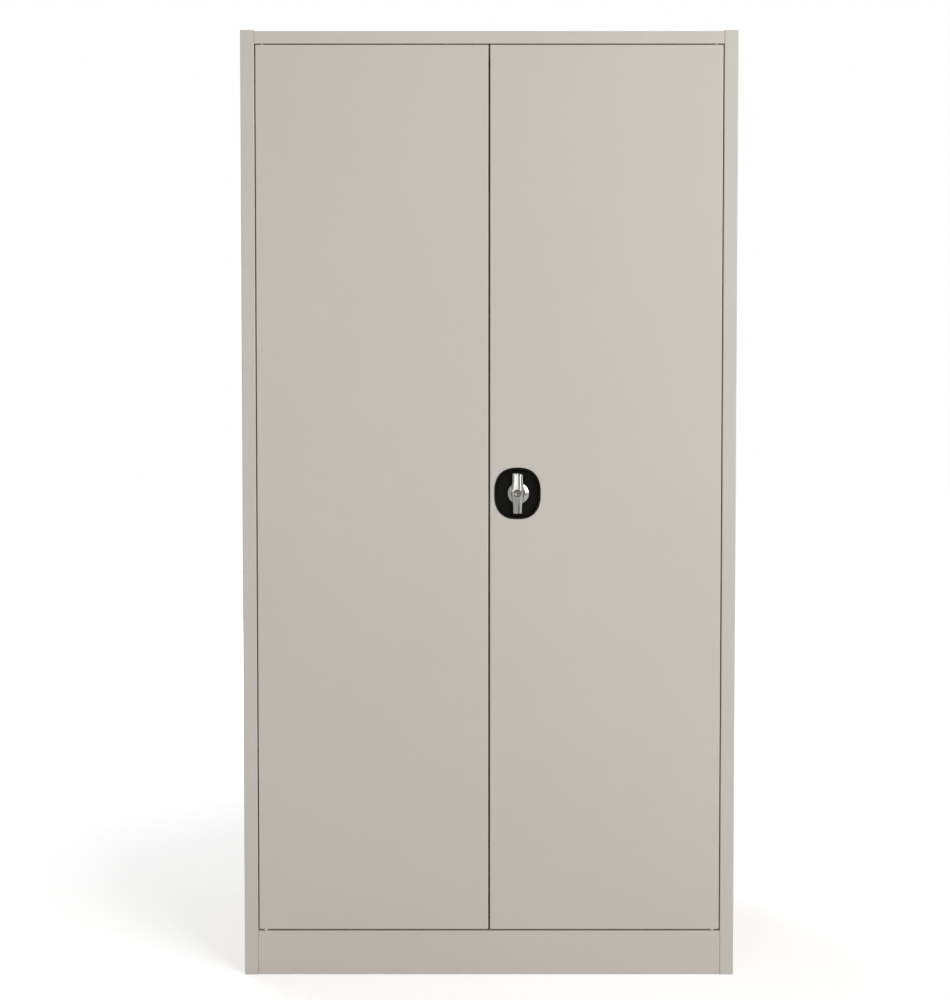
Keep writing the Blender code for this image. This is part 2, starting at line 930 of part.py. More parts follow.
def spindle_cutter(name, material):
    """The cutter for a square hole that fits the spindle."""
    half = spindle_side / 2 + fit_gap
    low = lock_place + Vector((-half, -overrun, -half))
    high = lock_place + Vector((half, tongue_front - front + overrun, half))
    return as_cutter(box(name, low, high, material))


def stud_place(side):
    """A cam stud's place, in the lock's plane; side is -1 for the top rod and 1 for the bottom rod."""
    reach = stud_circle * math.sin(stud_angle)
    return Vector((side * reach, 0, side * reach))


def lock_cam(material):
    """The disc on the spindle whose two studs work the rods."""
    start = lock_place + Vector((0, cam_front - front, 0))
    end = start + Vector((0, cam_thickness, 0))
    cam = rod_between("lock_cam", start, end, cam_radius, material, 2 * round_steps)
    for side in (-1, 1):
        foot = start + stud_place(side) + Vector((0, cam_thickness / 2, 0))
        tip_depth = rod_front + rod_thickness + works_gap - front
        tip = lock_place + stud_place(side) + Vector((0, tip_depth, 0))
        name = "stud_top" if side < 0 else "stud_bottom"
        combine(cam, as_cutter(rod_between(name, foot, tip, stud_radius, material)), "UNION")
    combine(cam, spindle_cutter("cam_square", material))
    return cam


def flat_outline(name, loops, depth, thickness, material):
    """A flat piece parallel to the doors, cut from plate along closed loops of (x, z) points."""
    curve = bpy.data.curves.new(name, "CURVE")
    curve.dimensions = "2D"
    curve.fill_mode = "BOTH"
    curve.extrude = thickness / 2
    for loop in loops:
        spline = curve.splines.new("POLY")
        spline.points.add(len(loop) - 1)
        for point, (x, z) in zip(spline.points, loop):
            point.co = (x, z, 0, 1)
        spline.use_cyclic_u = True
    obj = bpy.data.objects.new(name, curve)
    curve.materials.append(material)
    wardrobe.objects.link(obj)
    obj.location = (lock_from_centre, depth + thickness / 2, lock_height)
    obj.rotation_euler = (quarter_turn, 0, 0)
    return obj


def rounded_end(x, z, radius, start, steps=half_round_steps):
    """A half circle of outline points about (x, z), from the start angle on."""
    angles = [start + math.pi * k / steps for k in range(steps + 1)]
    return [(x + radius * math.cos(a), z + radius * math.sin(a)) for a in angles]


def locking_rod(name, side, material):
    """A flat rod from its cam stud to the door's edge; side is -1 for the top rod and 1 for the bottom rod."""
    up = -side
    line = side * rod_line
    half = rod_width / 2
    stud_level = stud_place(side).z
    near = stud_level - up * (stud_radius + slot_slack + half / 2)
    edge = door_top - rod_tip_sink if up > 0 else door_bottom + rod_tip_sink
    far = edge - lock_height
    outline = [
        (line - half, near),
        (line + half, near),
        (line + half, far - up * rod_tip),
        (line + half - rod_tip / 2, far),
        (line - half + rod_tip / 2, far),
        (line - half, far - up * rod_tip),
    ]
    slip = (stud_circle - stud_place(1).x) / 2
    slot_half = slip + stud_radius + stud_clearance
    slot_rise = stud_radius + slot_slack
    slot = [
        (line - slot_half, stud_level - slot_rise),
        (line + slot_half, stud_level - slot_rise),
        (line + slot_half, stud_level + slot_rise),
        (line - slot_half, stud_level + slot_rise),
    ]
    return flat_outline(name, [outline, slot], rod_front, rod_thickness, material)


def rod_cutter(name, side, low, high, material):
    """The cutter for the slot that a rod passes through, between two levels."""
    line = lock_from_centre + side * rod_line
    half = rod_width / 2 + rod_slot_gap
    near = rod_front - rod_slot_gap
    far = rod_front + rod_thickness + rod_slot_gap
    return as_cutter(box(name, (line - half, near, low), (line + half, far, high), material))


def rod_guide(name, side, level, material):
    """A moulded block on the door's face that a rod slides through."""
    line = lock_from_centre + side * rod_line
    near = front + sheet + fit_gap
    far = rod_front + rod_thickness + fit_gap + guide_wall
    half = guide_width / 2
    low = (line - half, near, level - guide_height / 2)
    high = (line + half, far, level + guide_height / 2)
    obj = box(name, low, high, material)
    reach = guide_height
    hole_half = rod_width / 2 + fit_gap
    hole_low = (line - hole_half, rod_front - fit_gap, level - reach)
    hole_high = (line + hole_half, rod_front + rod_thickness + fit_gap, level + reach)
    combine(obj, as_cutter(box(name + "_hole", hole_low, hole_high, material)))
    return obj


def guide_level(side, share):
    """A guide's height, at a share of the way from the lock to the door's end."""
    end = door_top if side < 0 else door_bottom
    return lock_height + (end - lock_height) * share


def lock_tongue(material):
    """The bar that hangs down unlocked and turns behind the left door to hold it."""
    half = tongue_width / 2
    tip = half - tongue_length
    outline = rounded_end(0, 0, half, 0) + rounded_end(0, tip, half, math.pi)
    obj = flat_outline("lock_tongue", [outline], tongue_front, tongue_thickness, material)
    return meshed(obj)


def meshed(curve_object):
    """The curve's shape as a mesh object, so that it can be cut."""
    graph = bpy.context.evaluated_depsgraph_get()
    graph.update()
    mesh = bpy.data.meshes.new_from_object(curve_object.evaluated_get(graph))
    bm = bmesh.new()
    bm.from_mesh(mesh)
    bmesh.ops.remove_doubles(bm, verts=bm.verts, dist=merge_distance)
    bm.to_mesh(mesh)
    bm.free()
    name = curve_object.name
    made = bpy.data.objects.new(name, mesh)
    made.matrix_world = curve_object.matrix_world
    bpy.data.objects.remove(curve_object)
    made.name = mesh.name = name
    wardrobe.objects.link(made)
    return made


def tongue_screw(material):
    """The domed screw that keeps the tongue on the spindle."""
    profile = [
        (0, screw_head_height),
        (screw_head_radius / 2, screw_head_height * dome_share),
        (screw_head_radius * dome_share, screw_head_height / 2),
        (screw_head_radius, 0),
        (0, 0),
    ]
    place = lock_place + Vector((0, tongue_front + tongue_thickness + fit_gap - front, 0))
    return turned("tongue_screw", profile, place, (0, 1, 0), material)


def build_carcass(paint, zinc, rubber):
    """The fixed shell, with the holes that the pins and rods enter."""
    side_panel("left_side_panel", -1, paint)
    side_panel("right_side_panel", 1, paint)
    post_cap("left_post_cap", -1, paint)
    post_cap("right_post_cap", 1, paint)
    top = top_panel(paint)
    kick = plinth(paint)
    floor_panel(paint)
    back_panel("left_back_panel", -1, paint)
    back_panel("right_back_panel", 1, paint)
    hole = pin_radius + fit_gap
    for side, label in ((-1, "left"), (1, "right")):
        lower_pin(label + "_lower_hinge_pin", side, zinc)
        pin_washer(label + "_hinge_washer", side, zinc)
        for body, level, place in ((top, top_rail_bottom, "rail"), (kick, plinth_top, "sill")):
            start = (side * hinge_x, hinge_y, level - rebate_lip / 2)
            end = (side * hinge_x, hinge_y, level + rebate_lip / 2)
            name = f"{label}_{place}_pin_hole"
            combine(body, as_cutter(rod_between(name, start, end, hole, zinc)))
        bumper(label + "_upper_bumper", side, top_rail_bottom - rebate_lip / 2, rubber)
        bumper(label + "_lower_bumper", side, plinth_top + rebate_lip / 2, rubber)
    half = rebate_lip / 2
    combine(top, rod_cutter("rail_slot", -1, top_rail_bottom - half, top_rail_bottom + half, zinc))
    combine(kick, rod_cutter("sill_slot", 1, plinth_top - half, plinth_top + half, zinc))


def build_fittings(paint, zinc):
    """The hat shelf, the divider, the adjustable shelves and the hanging rail."""
    hat_shelf(paint)
    divider(paint)
    for number, name in zip(shelf_slots, ("lower", "middle", "upper")):
        shelf(name + "_shelf", number, paint)
    walls = {"left": (-inner_half, 1), "right": (-sheet / 2, -1)}
    for label, (wall_x, side) in walls.items():
        for row in ("front", "rear"):
            slots = slot_cutter(wall_x, side, row, paint)
            shelf_upright(f"{label}_{row}_upright", wall_x, side, row, slots, paint)
            for number, height in zip(shelf_slots, ("lower", "middle", "upper")):
                name = f"{height}_{label}_{row}_shelf_clip"
                shelf_clip(name, wall_x, side, row, number, zinc)
    hanging_rail(zinc)
    rail_socket("left_rail_socket", sheet / 2, 1, zinc)
    rail_socket("right_rail_socket", inner_half, -1, zinc)


def build_door(side, label, paint, zinc):
    """A door with its stiffener and upper pin, hung on its joint's empty."""
    axis = joint_empty(label + "_door_axis", (side * hinge_x, hinge_y, door_bottom))
    door = door_panel(label + "_door_panel", side, paint)
    start = (side * hinge_x, hinge_y, door_bottom - overrun)
    end = (side * hinge_x, hinge_y, door_top + overrun)
    combine(door, as_cutter(rod_between(label + "_pin_line", start, end, pin_radius + fit_gap, zinc)))
    hang(door, axis)
    hang(door_stiffener(label + "_door_stiffener", side, paint), axis)
    hang(upper_pin(label + "_upper_hinge_pin", side, zinc), axis)
    return door, axis


def build_lock(door, door_axis, zinc, chrome, black, nylon, keyed):
    """The dish, the handle and the works behind it, all carried by the right door."""
    combine(door, lock_cutout(black))
    combine(door, rod_cutter("door_top_slot", -1, lock_height, door_top + overrun, zinc))
    combine(door, rod_cutter("door_bottom_slot", 1, door_bottom - overrun, lock_height, zinc))
    hang(lock_dish(black), door_axis)
    for label, side in (("top", -1), ("bottom", 1)):
        for place, share in (("near", guide_from_lock_share), ("far", guide_from_end_share)):
            name = f"{label}_{place}_rod_guide"
            hang(rod_guide(name, side, guide_level(side, share), nylon), door_axis)
        hang(locking_rod(label + "_rod", side, zinc), door_axis)
    turn_axis = joint_empty("handle_axis", lock_place)
    hang(turn_axis, door_axis)
    tongue = lock_tongue(zinc)
    combine(tongue, spindle_cutter("tongue_square", zinc))
    for piece in (handle(chrome), handle_spindle(zinc), lock_cam(zinc), tongue, tongue_screw(zinc)):
        hang(piece, turn_axis)
    hang(lock_cylinder(keyed), turn_axis)


def main():
    """Builds the whole wardrobe."""
    paint = finish("warm grey powder coat", (0.50, 0.47, 0.41), 0.45, 0.0)
    zinc = finish("zinc plated steel", (0.62, 0.63, 0.65), 0.35, 1.0)
    chrome = finish("chrome", (0.80, 0.80, 0.80), 0.12, 1.0)
    keyed = finish("nickel", (0.60, 0.58, 0.54), 0.25, 1.0)
    black = finish("black plastic", (0.012, 0.012, 0.011), 0.45, 0.0)
    nylon = finish("white nylon", (0.75, 0.75, 0.72), 0.50, 0.0)
    rubber = finish("grey rubber", (0.10, 0.10, 0.10), 0.80, 0.0)
    build_carcass(paint, zinc, rubber)
    build_fittings(paint, zinc)
    build_door(-1, "left", paint, zinc)
    door, door_axis = build_door(1, "right", paint, zinc)
    build_lock(door, door_axis, zinc, chrome, black, nylon, keyed)


clear_scene()
wardrobe = new_collection("wardrobe")
cutters = new_collection("cutters")
main()
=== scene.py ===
"""A two-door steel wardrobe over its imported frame: metres, +Z up, its front facing -Y."""

import json
import math

import bmesh
import bpy
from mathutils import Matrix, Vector


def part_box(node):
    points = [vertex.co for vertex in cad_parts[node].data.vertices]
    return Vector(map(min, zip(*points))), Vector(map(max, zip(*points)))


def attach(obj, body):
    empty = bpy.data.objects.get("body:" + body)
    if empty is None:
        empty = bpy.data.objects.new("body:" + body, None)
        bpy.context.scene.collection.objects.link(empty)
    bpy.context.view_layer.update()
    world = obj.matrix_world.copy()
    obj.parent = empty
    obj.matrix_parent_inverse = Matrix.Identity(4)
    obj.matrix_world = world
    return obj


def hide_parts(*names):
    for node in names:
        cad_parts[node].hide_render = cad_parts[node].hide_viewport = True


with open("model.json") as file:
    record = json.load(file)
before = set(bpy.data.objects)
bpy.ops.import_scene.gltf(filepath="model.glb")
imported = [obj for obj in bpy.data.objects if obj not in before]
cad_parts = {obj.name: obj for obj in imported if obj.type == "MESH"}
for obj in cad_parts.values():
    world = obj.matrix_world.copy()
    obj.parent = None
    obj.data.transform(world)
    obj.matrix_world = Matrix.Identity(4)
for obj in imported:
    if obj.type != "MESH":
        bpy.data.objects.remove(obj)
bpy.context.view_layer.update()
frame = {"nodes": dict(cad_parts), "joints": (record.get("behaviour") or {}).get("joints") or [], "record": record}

bl_info = {
    "name": "Steel wardrobe",
    "version": (1, 0, 0),
    "blender": (4, 5, 0),
    "location": "View3D > Sidebar > Wardrobe",
    "description": "Builds a two-door steel wardrobe piece by piece over its packed frame",
    "category": "Add Mesh",
}

quarter_turn = math.radians(90)
crease_angle = math.radians(30)
across = Vector((1, 0, 0))
deep = Vector((0, 1, 0))
up = Vector((0, 0, 1))
merge_distance = 0.00001
sliver_area = 1e-12  # square metres
flat_angle = math.radians(1)
small_round_steps = 3
plate_ease = 0.0003  # rounding on the small plates, clips and rods
slot_ease = 0.0002  # rounding on the slotted uprights
sides = {"left": -1, "right": 1}
lock_place = Vector(next(j["pos_m"] for j in frame["joints"] if j["name"] == "handle_turn"))


# Settings


def length(name, description, default):
    """A size in metres."""
    return bpy.props.FloatProperty(
        name=name, description=description, default=default, unit="LENGTH"
    )


def count(name, description, default, least, most):
    """A number of faces or points."""
    return bpy.props.IntProperty(
        name=name, description=description, default=default, min=least, max=most
    )


def number(name, description, default, least=0):
    """A strength, or another plain number."""
    return bpy.props.FloatProperty(name=name, description=description, default=default, min=least)


def numbers(name, description, default, subtype="NONE"):
    """Two or three numbers that belong together."""
    return bpy.props.FloatVectorProperty(
        name=name, description=description, subtype=subtype, size=len(default), default=default
    )


def tint(name, description, default):
    """A finish's colour."""
    return numbers(name, description, default, "COLOR")


class SheetSizes(bpy.types.PropertyGroup):
    """How the steel sheet is bent."""

    thickness: length("Sheet", "Thickness of the steel sheet", 0.001)
    fold_radius: length("Fold radius", "Outer radius of a fold", 0.0016)
    fold_steps: count("Fold steps", "Faces round a fold", 5, 2, 12)
    relief: length("Corner relief", "Notch between two folds", 0.003)
    fit_gap: length("Fit gap", "Air between two sheets that meet", 0.0003)
    hole_steps: count("Round steps", "Faces round a hole or a pin", 40, 12, 96)


class CarcassSizes(bpy.types.PropertyGroup):
    """The flanges of the fixed shell."""

    post_depth: length("Post depth", "Depth of a front post", 0.025)
    post_lip: length("Post lip", "Lip at the back of a front post", 0.012)
    rear_flange: length("Rear flange", "Flange at a side panel's rear", 0.020)
    base_flange: length("Base flange", "Flange at a side panel's foot", 0.025)
    rail_height: length("Top rail", "Height of the rail over the doors", 0.0237)
    rebate_depth: length("Rebate depth", "How far back the doors shut", 0.0245)
    rebate_lip: length("Rebate lip", "Lip that the doors shut against", 0.016)
    skirt: length("Skirt", "Down flange of the top sheet", 0.020)
    plinth_foot: length("Plinth foot", "Return under the plinth", 0.015)
    back_flange: length("Back flange", "Flange where the backs meet", 0.015)
    rail_wall: length("Tube wall", "Wall of the hanging rail", 0.0015)


class DoorSizes(bpy.types.PropertyGroup):
    """The doors and what they turn on."""

    lip: length("Lip", "Lip round the back of a door", 0.014)
    stiffener_foot: length("Stiffener foot", "Foot of a door's stiffener", 0.014)
    pin_radius: length("Pin radius", "Radius of a hinge pin's shank", 0.0035)
    pin_head: length("Pin head", "Height of a hinge pin's head", 0.003)
    edge_round: length("Edge round", "Rounding on small turned pieces", 0.0005)


class LockSizes(bpy.types.PropertyGroup):
    """The dish, the handle and the key cylinder."""

    squareness: number("Squareness", "How square the dish's outline is", 2.5, least=2)
    dish_points: count("Dish points", "Points round the dish", 96, 24, 192)
    dish_wall: length("Dish wall", "Wall of the dish", 0.0012)
    rim: length("Rim", "Width of the dish's rim", 0.004)
    slope: length("Slope", "How far the dish's wall leans in", 0.0015)
    depth: length("Depth", "Depth of the dish's floor", 0.0085)
    overlap: length("Overlap", "Rim that lies on the door", 0.0022)
    hub_width: length("Hub width", "Width of the handle at its hub", 0.0247)
    upper_tip: length("Upper tip", "Width of the upper blade's tip", 0.0203)
    lower_tip: length("Lower tip", "Width of the lower blade's tip", 0.0172)
    hub_proud: length("Hub proud", "How far the hub stands out", 0.008)
    tip_proud: length("Tip proud", "How far the tips stand out", 0.0045)
    blade_back: length("Blade back", "Depth of the blade's back", 0.003)
    disc_radius: length("Disc radius", "Radius of the handle's disc", 0.0208)
    disc_shift: length("Disc shift", "How far right the disc sits", 0.0018)
    disc_front: length("Disc front", "Depth of the disc's face", 0.002)
    cylinder_radius: length("Key cylinder", "Radius of the key cylinder", 0.006)


class FinishColours(bpy.types.PropertyGroup):
    """The colours of the finishes."""

    paint: tint("Paint", "Powder coat", (0.500, 0.469, 0.425))
    zinc: tint("Zinc", "Zinc-plated steel", (0.58, 0.60, 0.62))
    # The chrome is darker than the metal's own tone: partly its satin plating, partly painted shade for the darker
    # room that it reflects
    chrome: tint("Chrome", "Handle plating", (0.24, 0.24, 0.225))
    # The nickel is darkened well below the metal's own tone: painted shade for the dark hub round the key cylinder
    nickel: tint("Nickel", "Key cylinder", (0.15, 0.14, 0.12))
    plastic: tint("Black plastic", "Lock dish", (0.0042, 0.0039, 0.0032))
    nylon: tint("Nylon", "Rod guides", (0.72, 0.71, 0.67))
    rubber: tint("Rubber", "Door bumpers", (0.045, 0.045, 0.045))


class StageSizes(bpy.types.PropertyGroup):
    """The camera, the floor and the lights."""

    lens: number("Lens", "Focal length in millimetres", 47.28, least=10)
    camera_place: numbers("Camera", "Where it stands", (-0.027, -2.75, 0.990), "TRANSLATION")
    camera_dip: bpy.props.FloatProperty(
        name="Camera dip",
        description="How far the camera looks down",
        subtype="ANGLE",
        default=math.radians(1.740),
    )
    floor_size: length("Floor", "Width of the floor", 60.0)
    near_floor: numbers("Near floor", "Where the glow starts to rise, and is full", (0.9, 3.0))
    floor_glow: numbers("Floor glow", "The floor's glow near by and far off", (0.26, 0.57))
    world_light: number("Room light", "Strength of the light from all round", 0.48)
    key_power: number("Key light", "Power of the soft light at the upper right", 180.0)
    fill_power: number("Fill light", "Power of the soft light at the upper left", 6.0)
    rear_power: number("Rear light", "Power of the soft light behind the wardrobe", 110.0)


class WardrobeSettings(bpy.types.PropertyGroup):
    """Every size and colour of the wardrobe."""

    sheet: bpy.props.PointerProperty(type=SheetSizes)
    carcass: bpy.props.PointerProperty(type=CarcassSizes)
    door: bpy.props.PointerProperty(type=DoorSizes)
    lock: bpy.props.PointerProperty(type=LockSizes)
    colour: bpy.props.PointerProperty(type=FinishColours)
    stage: bpy.props.PointerProperty(type=StageSizes)


def settings():
    """The settings that the panel shows."""
    return bpy.context.scene.wardrobe


# Shared effects


origin = (0, 0, 0)
mid_grey = (0.5, 0.5, 0.5, 1)


def socket_kind(value):
    """The kind of socket that holds a number, a place or a colour."""
    if isinstance(value, float):
        return "NodeSocketFloat"
    return "NodeSocketVector" if len(value) == 3 else "NodeSocketColor"


def new_group(name, inputs, outputs):
    """A shader node group with named sockets: its tree, what goes in and what comes out."""
    tree = bpy.data.node_groups.new(name, "ShaderNodeTree")
    for way, sockets in (("INPUT", inputs), ("OUTPUT", outputs)):
        for label, value in sockets.items():
            kind = socket_kind(value)
            tree.interface.new_socket(label, in_out=way, socket_type=kind).default_value = value
    start = tree.nodes.new("NodeGroupInput").outputs
    end = tree.nodes.new("NodeGroupOutput").inputs
    return tree, start, end


def wire(tree, value, socket):
    """Links a socket, or sets a plain value."""
    if isinstance(value, bpy.types.NodeSocket):
        tree.links.new(value, socket)
    else:
        socket.default_value = value


def add_node(tree, kind, values, **options):
    """A node with its options, and with sockets or plain values for its inputs."""
    node = tree.nodes.new(kind)
    for option, value in options.items():
        setattr(node, option, value)
    for socket, value in values.items():
        wire(tree, value, node.inputs[socket])
    return node


def noise(tree, vector, scale, detail=2.0, roughness=0.5):
    """Noise over the given coordinates."""
    values = {"Vector": vector, "Scale": scale, "Detail": detail, "Roughness": roughness}
    return add_node(tree, "ShaderNodeTexNoise", values).outputs["Fac"]


def calculate(tree, operation, *values):
    """The result of a sum on sockets or numbers."""
    node = add_node(tree, "ShaderNodeMath", dict(enumerate(values)), operation=operation)
    return node.outputs["Value"]


def sway(tree, value, amount):
    """How far a noise lies from its middle, times an amount."""
    return calculate(tree, "MULTIPLY", calculate(tree, "SUBTRACT", value, 0.5), amount)


def spread(tree, value, low, high):
    """Maps 0 to 1 onto low to high."""
    values = {"Value": value, "To Min": low, "To Max": high}
    return add_node(tree, "ShaderNodeMapRange", values).outputs["Result"]


def shifted(tree, colour, value, hue=0.5):
    """A colour made lighter or darker by a value; a hue of a half leaves its hue alone."""
    values = {"Color": colour, "Value": value, "Hue": hue}
    return add_node(tree, "ShaderNodeHueSaturation", values).outputs["Color"]


def uneven_tone_group():
    """A colour that drifts from place to place, warmer in some and cooler in others."""
    tree, start, end = new_group(
        "Uneven tone",
        {"Vector": origin, "Colour": mid_grey, "Patch scale": 3.0, "Amount": 0.04},
        {"Colour": mid_grey},
    )
    vector, scale, amount = start["Vector"], start["Patch scale"], start["Amount"]
    patches = noise(tree, vector, scale, detail=3.0, roughness=0.6)
    value = calculate(tree, "ADD", sway(tree, patches, amount), 1.0)
    hues = noise(tree, vector, calculate(tree, "MULTIPLY", scale, 1.7))
    hue = calculate(tree, "MULTIPLY_ADD", sway(tree, hues, amount), 0.5, 0.5)
    wire(tree, shifted(tree, start["Colour"], value, hue), end["Colour"])
    return tree


def fine_grain_group():
    """A pebbled skin, as on powder or plastic: its height, and a roughness that follows it."""
    tree, start, end = new_group(
        "Fine grain",
        {
            "Vector": origin,
            "Grain scale": 600.0,
            "Wave scale": 6.0,
            "Wave share": 0.5,
            "Roughness": 0.45,
            "Roughness spread": 0.05,
        },
        {"Height": 0.0, "Roughness": 0.0},
    )
    grain = noise(tree, start["Vector"], start["Grain scale"], detail=1.5, roughness=0.55)
    wave = noise(tree, start["Vector"], start["Wave scale"], detail=1.0, roughness=0.4)
    wire(tree, calculate(tree, "MULTIPLY_ADD", wave, start["Wave share"], grain), end["Height"])
    drift = sway(tree, grain, start["Roughness spread"])
    wire(tree, calculate(tree, "ADD", drift, start["Roughness"]), end["Roughness"])
    return tree


def drawn_metal_group():
    """Rolled or polished metal: faint streaks along one axis, with a little haze between them."""
    tree, start, end = new_group(
        "Drawn metal",
        {
            "Vector": origin,
            "Streak scale": 60.0,
            "Roughness": 0.3,
            "Roughness spread": 0.15,
            "Colour": mid_grey,
            "Tone spread": 0.15,
        },
        {"Colour": mid_grey, "Height": 0.0, "Roughness": 0.0},
    )
    vector, scale = start["Vector"], start["Streak scale"]
    along = add_node(tree, "ShaderNodeMapping", {"Vector": vector, "Scale": (1.0, 1.0, 0.06)})
    streaks = noise(tree, along.outputs["Vector"], scale, detail=4.0, roughness=0.65)
    haze = noise(tree, vector, calculate(tree, "MULTIPLY", scale, 0.3))
    mixed = calculate(tree, "SUBTRACT", calculate(tree, "ADD", streaks, haze), 1.0)
    rough = calculate(tree, "MULTIPLY_ADD", mixed, start["Roughness spread"], start["Roughness"])
    tone = calculate(tree, "MULTIPLY_ADD", mixed, start["Tone spread"], 1.0)
    wire(tree, rough, end["Roughness"])
    wire(tree, streaks, end["Height"])
    wire(tree, shifted(tree, start["Colour"], tone), end["Colour"])
    return tree


# Finishes


effects = {
    "Uneven tone": uneven_tone_group,
    "Fine grain": fine_grain_group,
    "Drawn metal": drawn_metal_group,
}

# The finishes of the record's slots: each row has its material's name, the setting of its
# colour and then what the columns say, with the height of its bumps in metres
grained_columns = (
    "Bump", "Specular", "Patch scale", "Amount", "Grain scale", "Wave scale", "Wave share",
    "Roughness", "Roughness spread",
)
grained = {
    "powder_coat": ("Powder coat", "paint", 12e-5, 0.5, 2.2, 0.05, 420.0, 5.0, 6.0, 0.5, 0.08),
    "black_plastic": (
        "Moulded black plastic", "plastic", 12e-5, 0.06, 60.0, 0.5, 900.0, 160.0, 0.8, 0.42, 0.25
    ),
    "nylon": ("White nylon", "nylon", 5e-5, 0.5, 40.0, 0.1, 700.0, 60.0, 0.6, 0.5, 0.1),
    "rubber": ("Dark rubber", "rubber", 6e-5, 0.5, 80.0, 0.3, 1500.0, 200.0, 0.5, 0.78, 0.15),
}
metal_columns = (
    "Bump", "Specular", "Streak scale", "Tone spread", "Roughness", "Roughness spread"
)
metals = {
    "zinc_steel": ("Zinc plate", "zinc", 2e-5, 0.5, 90.0, 0.22, 0.38, 0.2),
    # Chrome: its dark colour is partly painted shade for the room that it reflects
    "chrome": ("Chrome plate", "chrome", 3e-5, 0.5, 260.0, 0.2, 0.2, 0.12),
    # Nickel: its dark colour is partly painted shade in the handle's hub
    "nickel": ("Nickel plate", "nickel", 2e-5, 0.5, 300.0, 0.2, 0.3, 0.1),
}


def make_finish(name, effect_names, metallic, values):
    """A procedural material that shows some effects, with the values of their sockets."""
    made = bpy.data.materials.new(name)
    made.use_nodes = True
    made.diffuse_color = values["Colour"]
    tree = made.node_tree
    values["Vector"] = tree.nodes.new("ShaderNodeTexCoord").outputs["Object"]
    shown = {}
    for effect in effect_names:
        group = bpy.data.node_groups.get(effect) or effects[effect]()
        node = add_node(tree, "ShaderNodeGroup", {}, node_tree=group)
        for socket in node.inputs:
            wire(tree, values[socket.name], socket)
        shown.update(node.outputs.items())
    relief = {"Strength": 1.0, "Distance": values["Bump"], "Height": shown["Height"]}
    shader = tree.nodes["Principled BSDF"].inputs
    shader["Base Color"].default_value = values["Colour"]
    shader["Metallic"].default_value = metallic
    shader["Specular IOR Level"].default_value = values["Specular"]
    wire(tree, shown["Colour"], shader["Base Color"])
    wire(tree, shown["Roughness"], shader["Roughness"])
    wire(tree, add_node(tree, "ShaderNodeBump", relief).outputs["Normal"], shader["Normal"])
    return made


def finish_of(slot):
    """The material of one of the record's slots, made the first time that it is asked for."""
    if slot in metals:
        effect_names, metallic, columns, rows = ["Drawn metal"], 1.0, metal_columns, metals
    else:
        effect_names, metallic = ["Uneven tone", "Fine grain"], 0.0
        columns, rows = grained_columns, grained
    name, colour, *figures = rows[slot]
    values = dict(zip(columns, figures))
    values["Colour"] = (*getattr(settings().colour, colour), 1)
    found = bpy.data.materials.get(name)
    return found or make_finish(name, effect_names, metallic, values)


# Mesh helpers


def dress(obj, node):
    """Puts the object in its CAD node's place, on the node's body and with its slot's finish."""
    bodies = frame["record"]["behaviour"]["bodies"]
    body = next(name for name, nodes in bodies.items() if node in nodes)
    part = next(row for row in frame["record"]["subparts"] if row["node"] == node)
    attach(obj, body)
    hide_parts(node)
    obj.data.materials.clear()
    obj.data.materials.append(finish_of(part["material_slot"]))


def new_piece(bm, name):
    """The bmesh as an object of the scene."""
    mesh = bpy.data.meshes.new(name)
    bm.to_mesh(mesh)
    bm.free()
    obj = bpy.data.objects.new(name, mesh)
    bpy.context.scene.collection.objects.link(obj)
    return obj


def modified(obj, name, kind, **values):
    """Gives the object a modifier."""
    step = obj.modifiers.new(name, kind)
    for label, value in values.items():
        setattr(step, label, value)
    return obj


def settle(obj):
    """Applies the object's modifiers to its mesh."""
    graph = bpy.context.evaluated_depsgraph_get()
    graph.update()
    mesh = bpy.data.meshes.new_from_object(obj.evaluated_get(graph))
    obj.modifiers.clear()
    old = obj.data
    obj.data = mesh
    bpy.data.meshes.remove(old)
    mesh.name = obj.name
    return obj


def cut(obj, others, operation="DIFFERENCE"):
    """Cuts the other objects out of this one, or joins them to it, and removes them."""
    for other in others:
        values = {"object": other, "operation": operation, "solver": "EXACT"}
        modified(obj, other.name, "BOOLEAN", **values)
    settle(obj)
    for other in others:
        bpy.data.objects.remove(other)
    return obj


def rounded(obj, radius, steps):
    """Rounds the object's sharp edges."""
    limit = {"limit_method": "ANGLE", "angle_limit": crease_angle}
    return modified(obj, "rounded edges", "BEVEL", width=radius, segments=steps, **limit)


def walled(obj, wall):
    """Gives an open surface its wall, on the side that its faces turn away from."""
    return modified(obj, "wall", "SOLIDIFY", thickness=wall, offset=-1, use_even_offset=True)


def folded(bm, name):
    """A piece of sheet metal, with round folds, corners that meet and its thickness."""
    sheet = settings().sheet
    bent = rounded(new_piece(bm, name), sheet.fold_radius, sheet.fold_steps)
    modified(bent, "merged corners", "WELD", merge_threshold=merge_distance)
    return walled(bent, sheet.thickness)


def shaded(obj):
    """Smooth folds between flat faces that stay flat."""
    settle(obj)
    obj.data.shade_smooth()
    obj.data.set_sharp_from_angle(angle=crease_angle)
    weighting = {"mode": "FACE_AREA", "weight": 100, "keep_sharp": True}
    return settle(modified(obj, "flat faces", "WEIGHTED_NORMAL", **weighting))


def facing(bm, outward, place=None):
    """Turns the surface so that its first face, or the one nearest a place, looks outward."""
    bmesh.ops.recalc_face_normals(bm, faces=bm.faces)
    bm.faces.ensure_lookup_table()
    face = bm.faces[0]
    if place is not None:
        face = min(bm.faces, key=lambda f: (f.calc_center_median() - place).length)
    if face.normal.dot(outward) < 0:
        bmesh.ops.reverse_faces(bm, faces=bm.faces)


def move(bm, run, verts=None):
    """Moves some of the mesh's points, or all of them."""
    bmesh.ops.translate(bm, vec=run, verts=bm.verts if verts is None else verts)


def stand(bm, axis, place):
    """Turns the mesh from upright to the axis, then moves it to its place."""
    turn = axis.to_track_quat("Z", "Y").to_matrix()
    bmesh.ops.rotate(bm, cent=(0, 0, 0), matrix=turn, verts=bm.verts)
    move(bm, place)


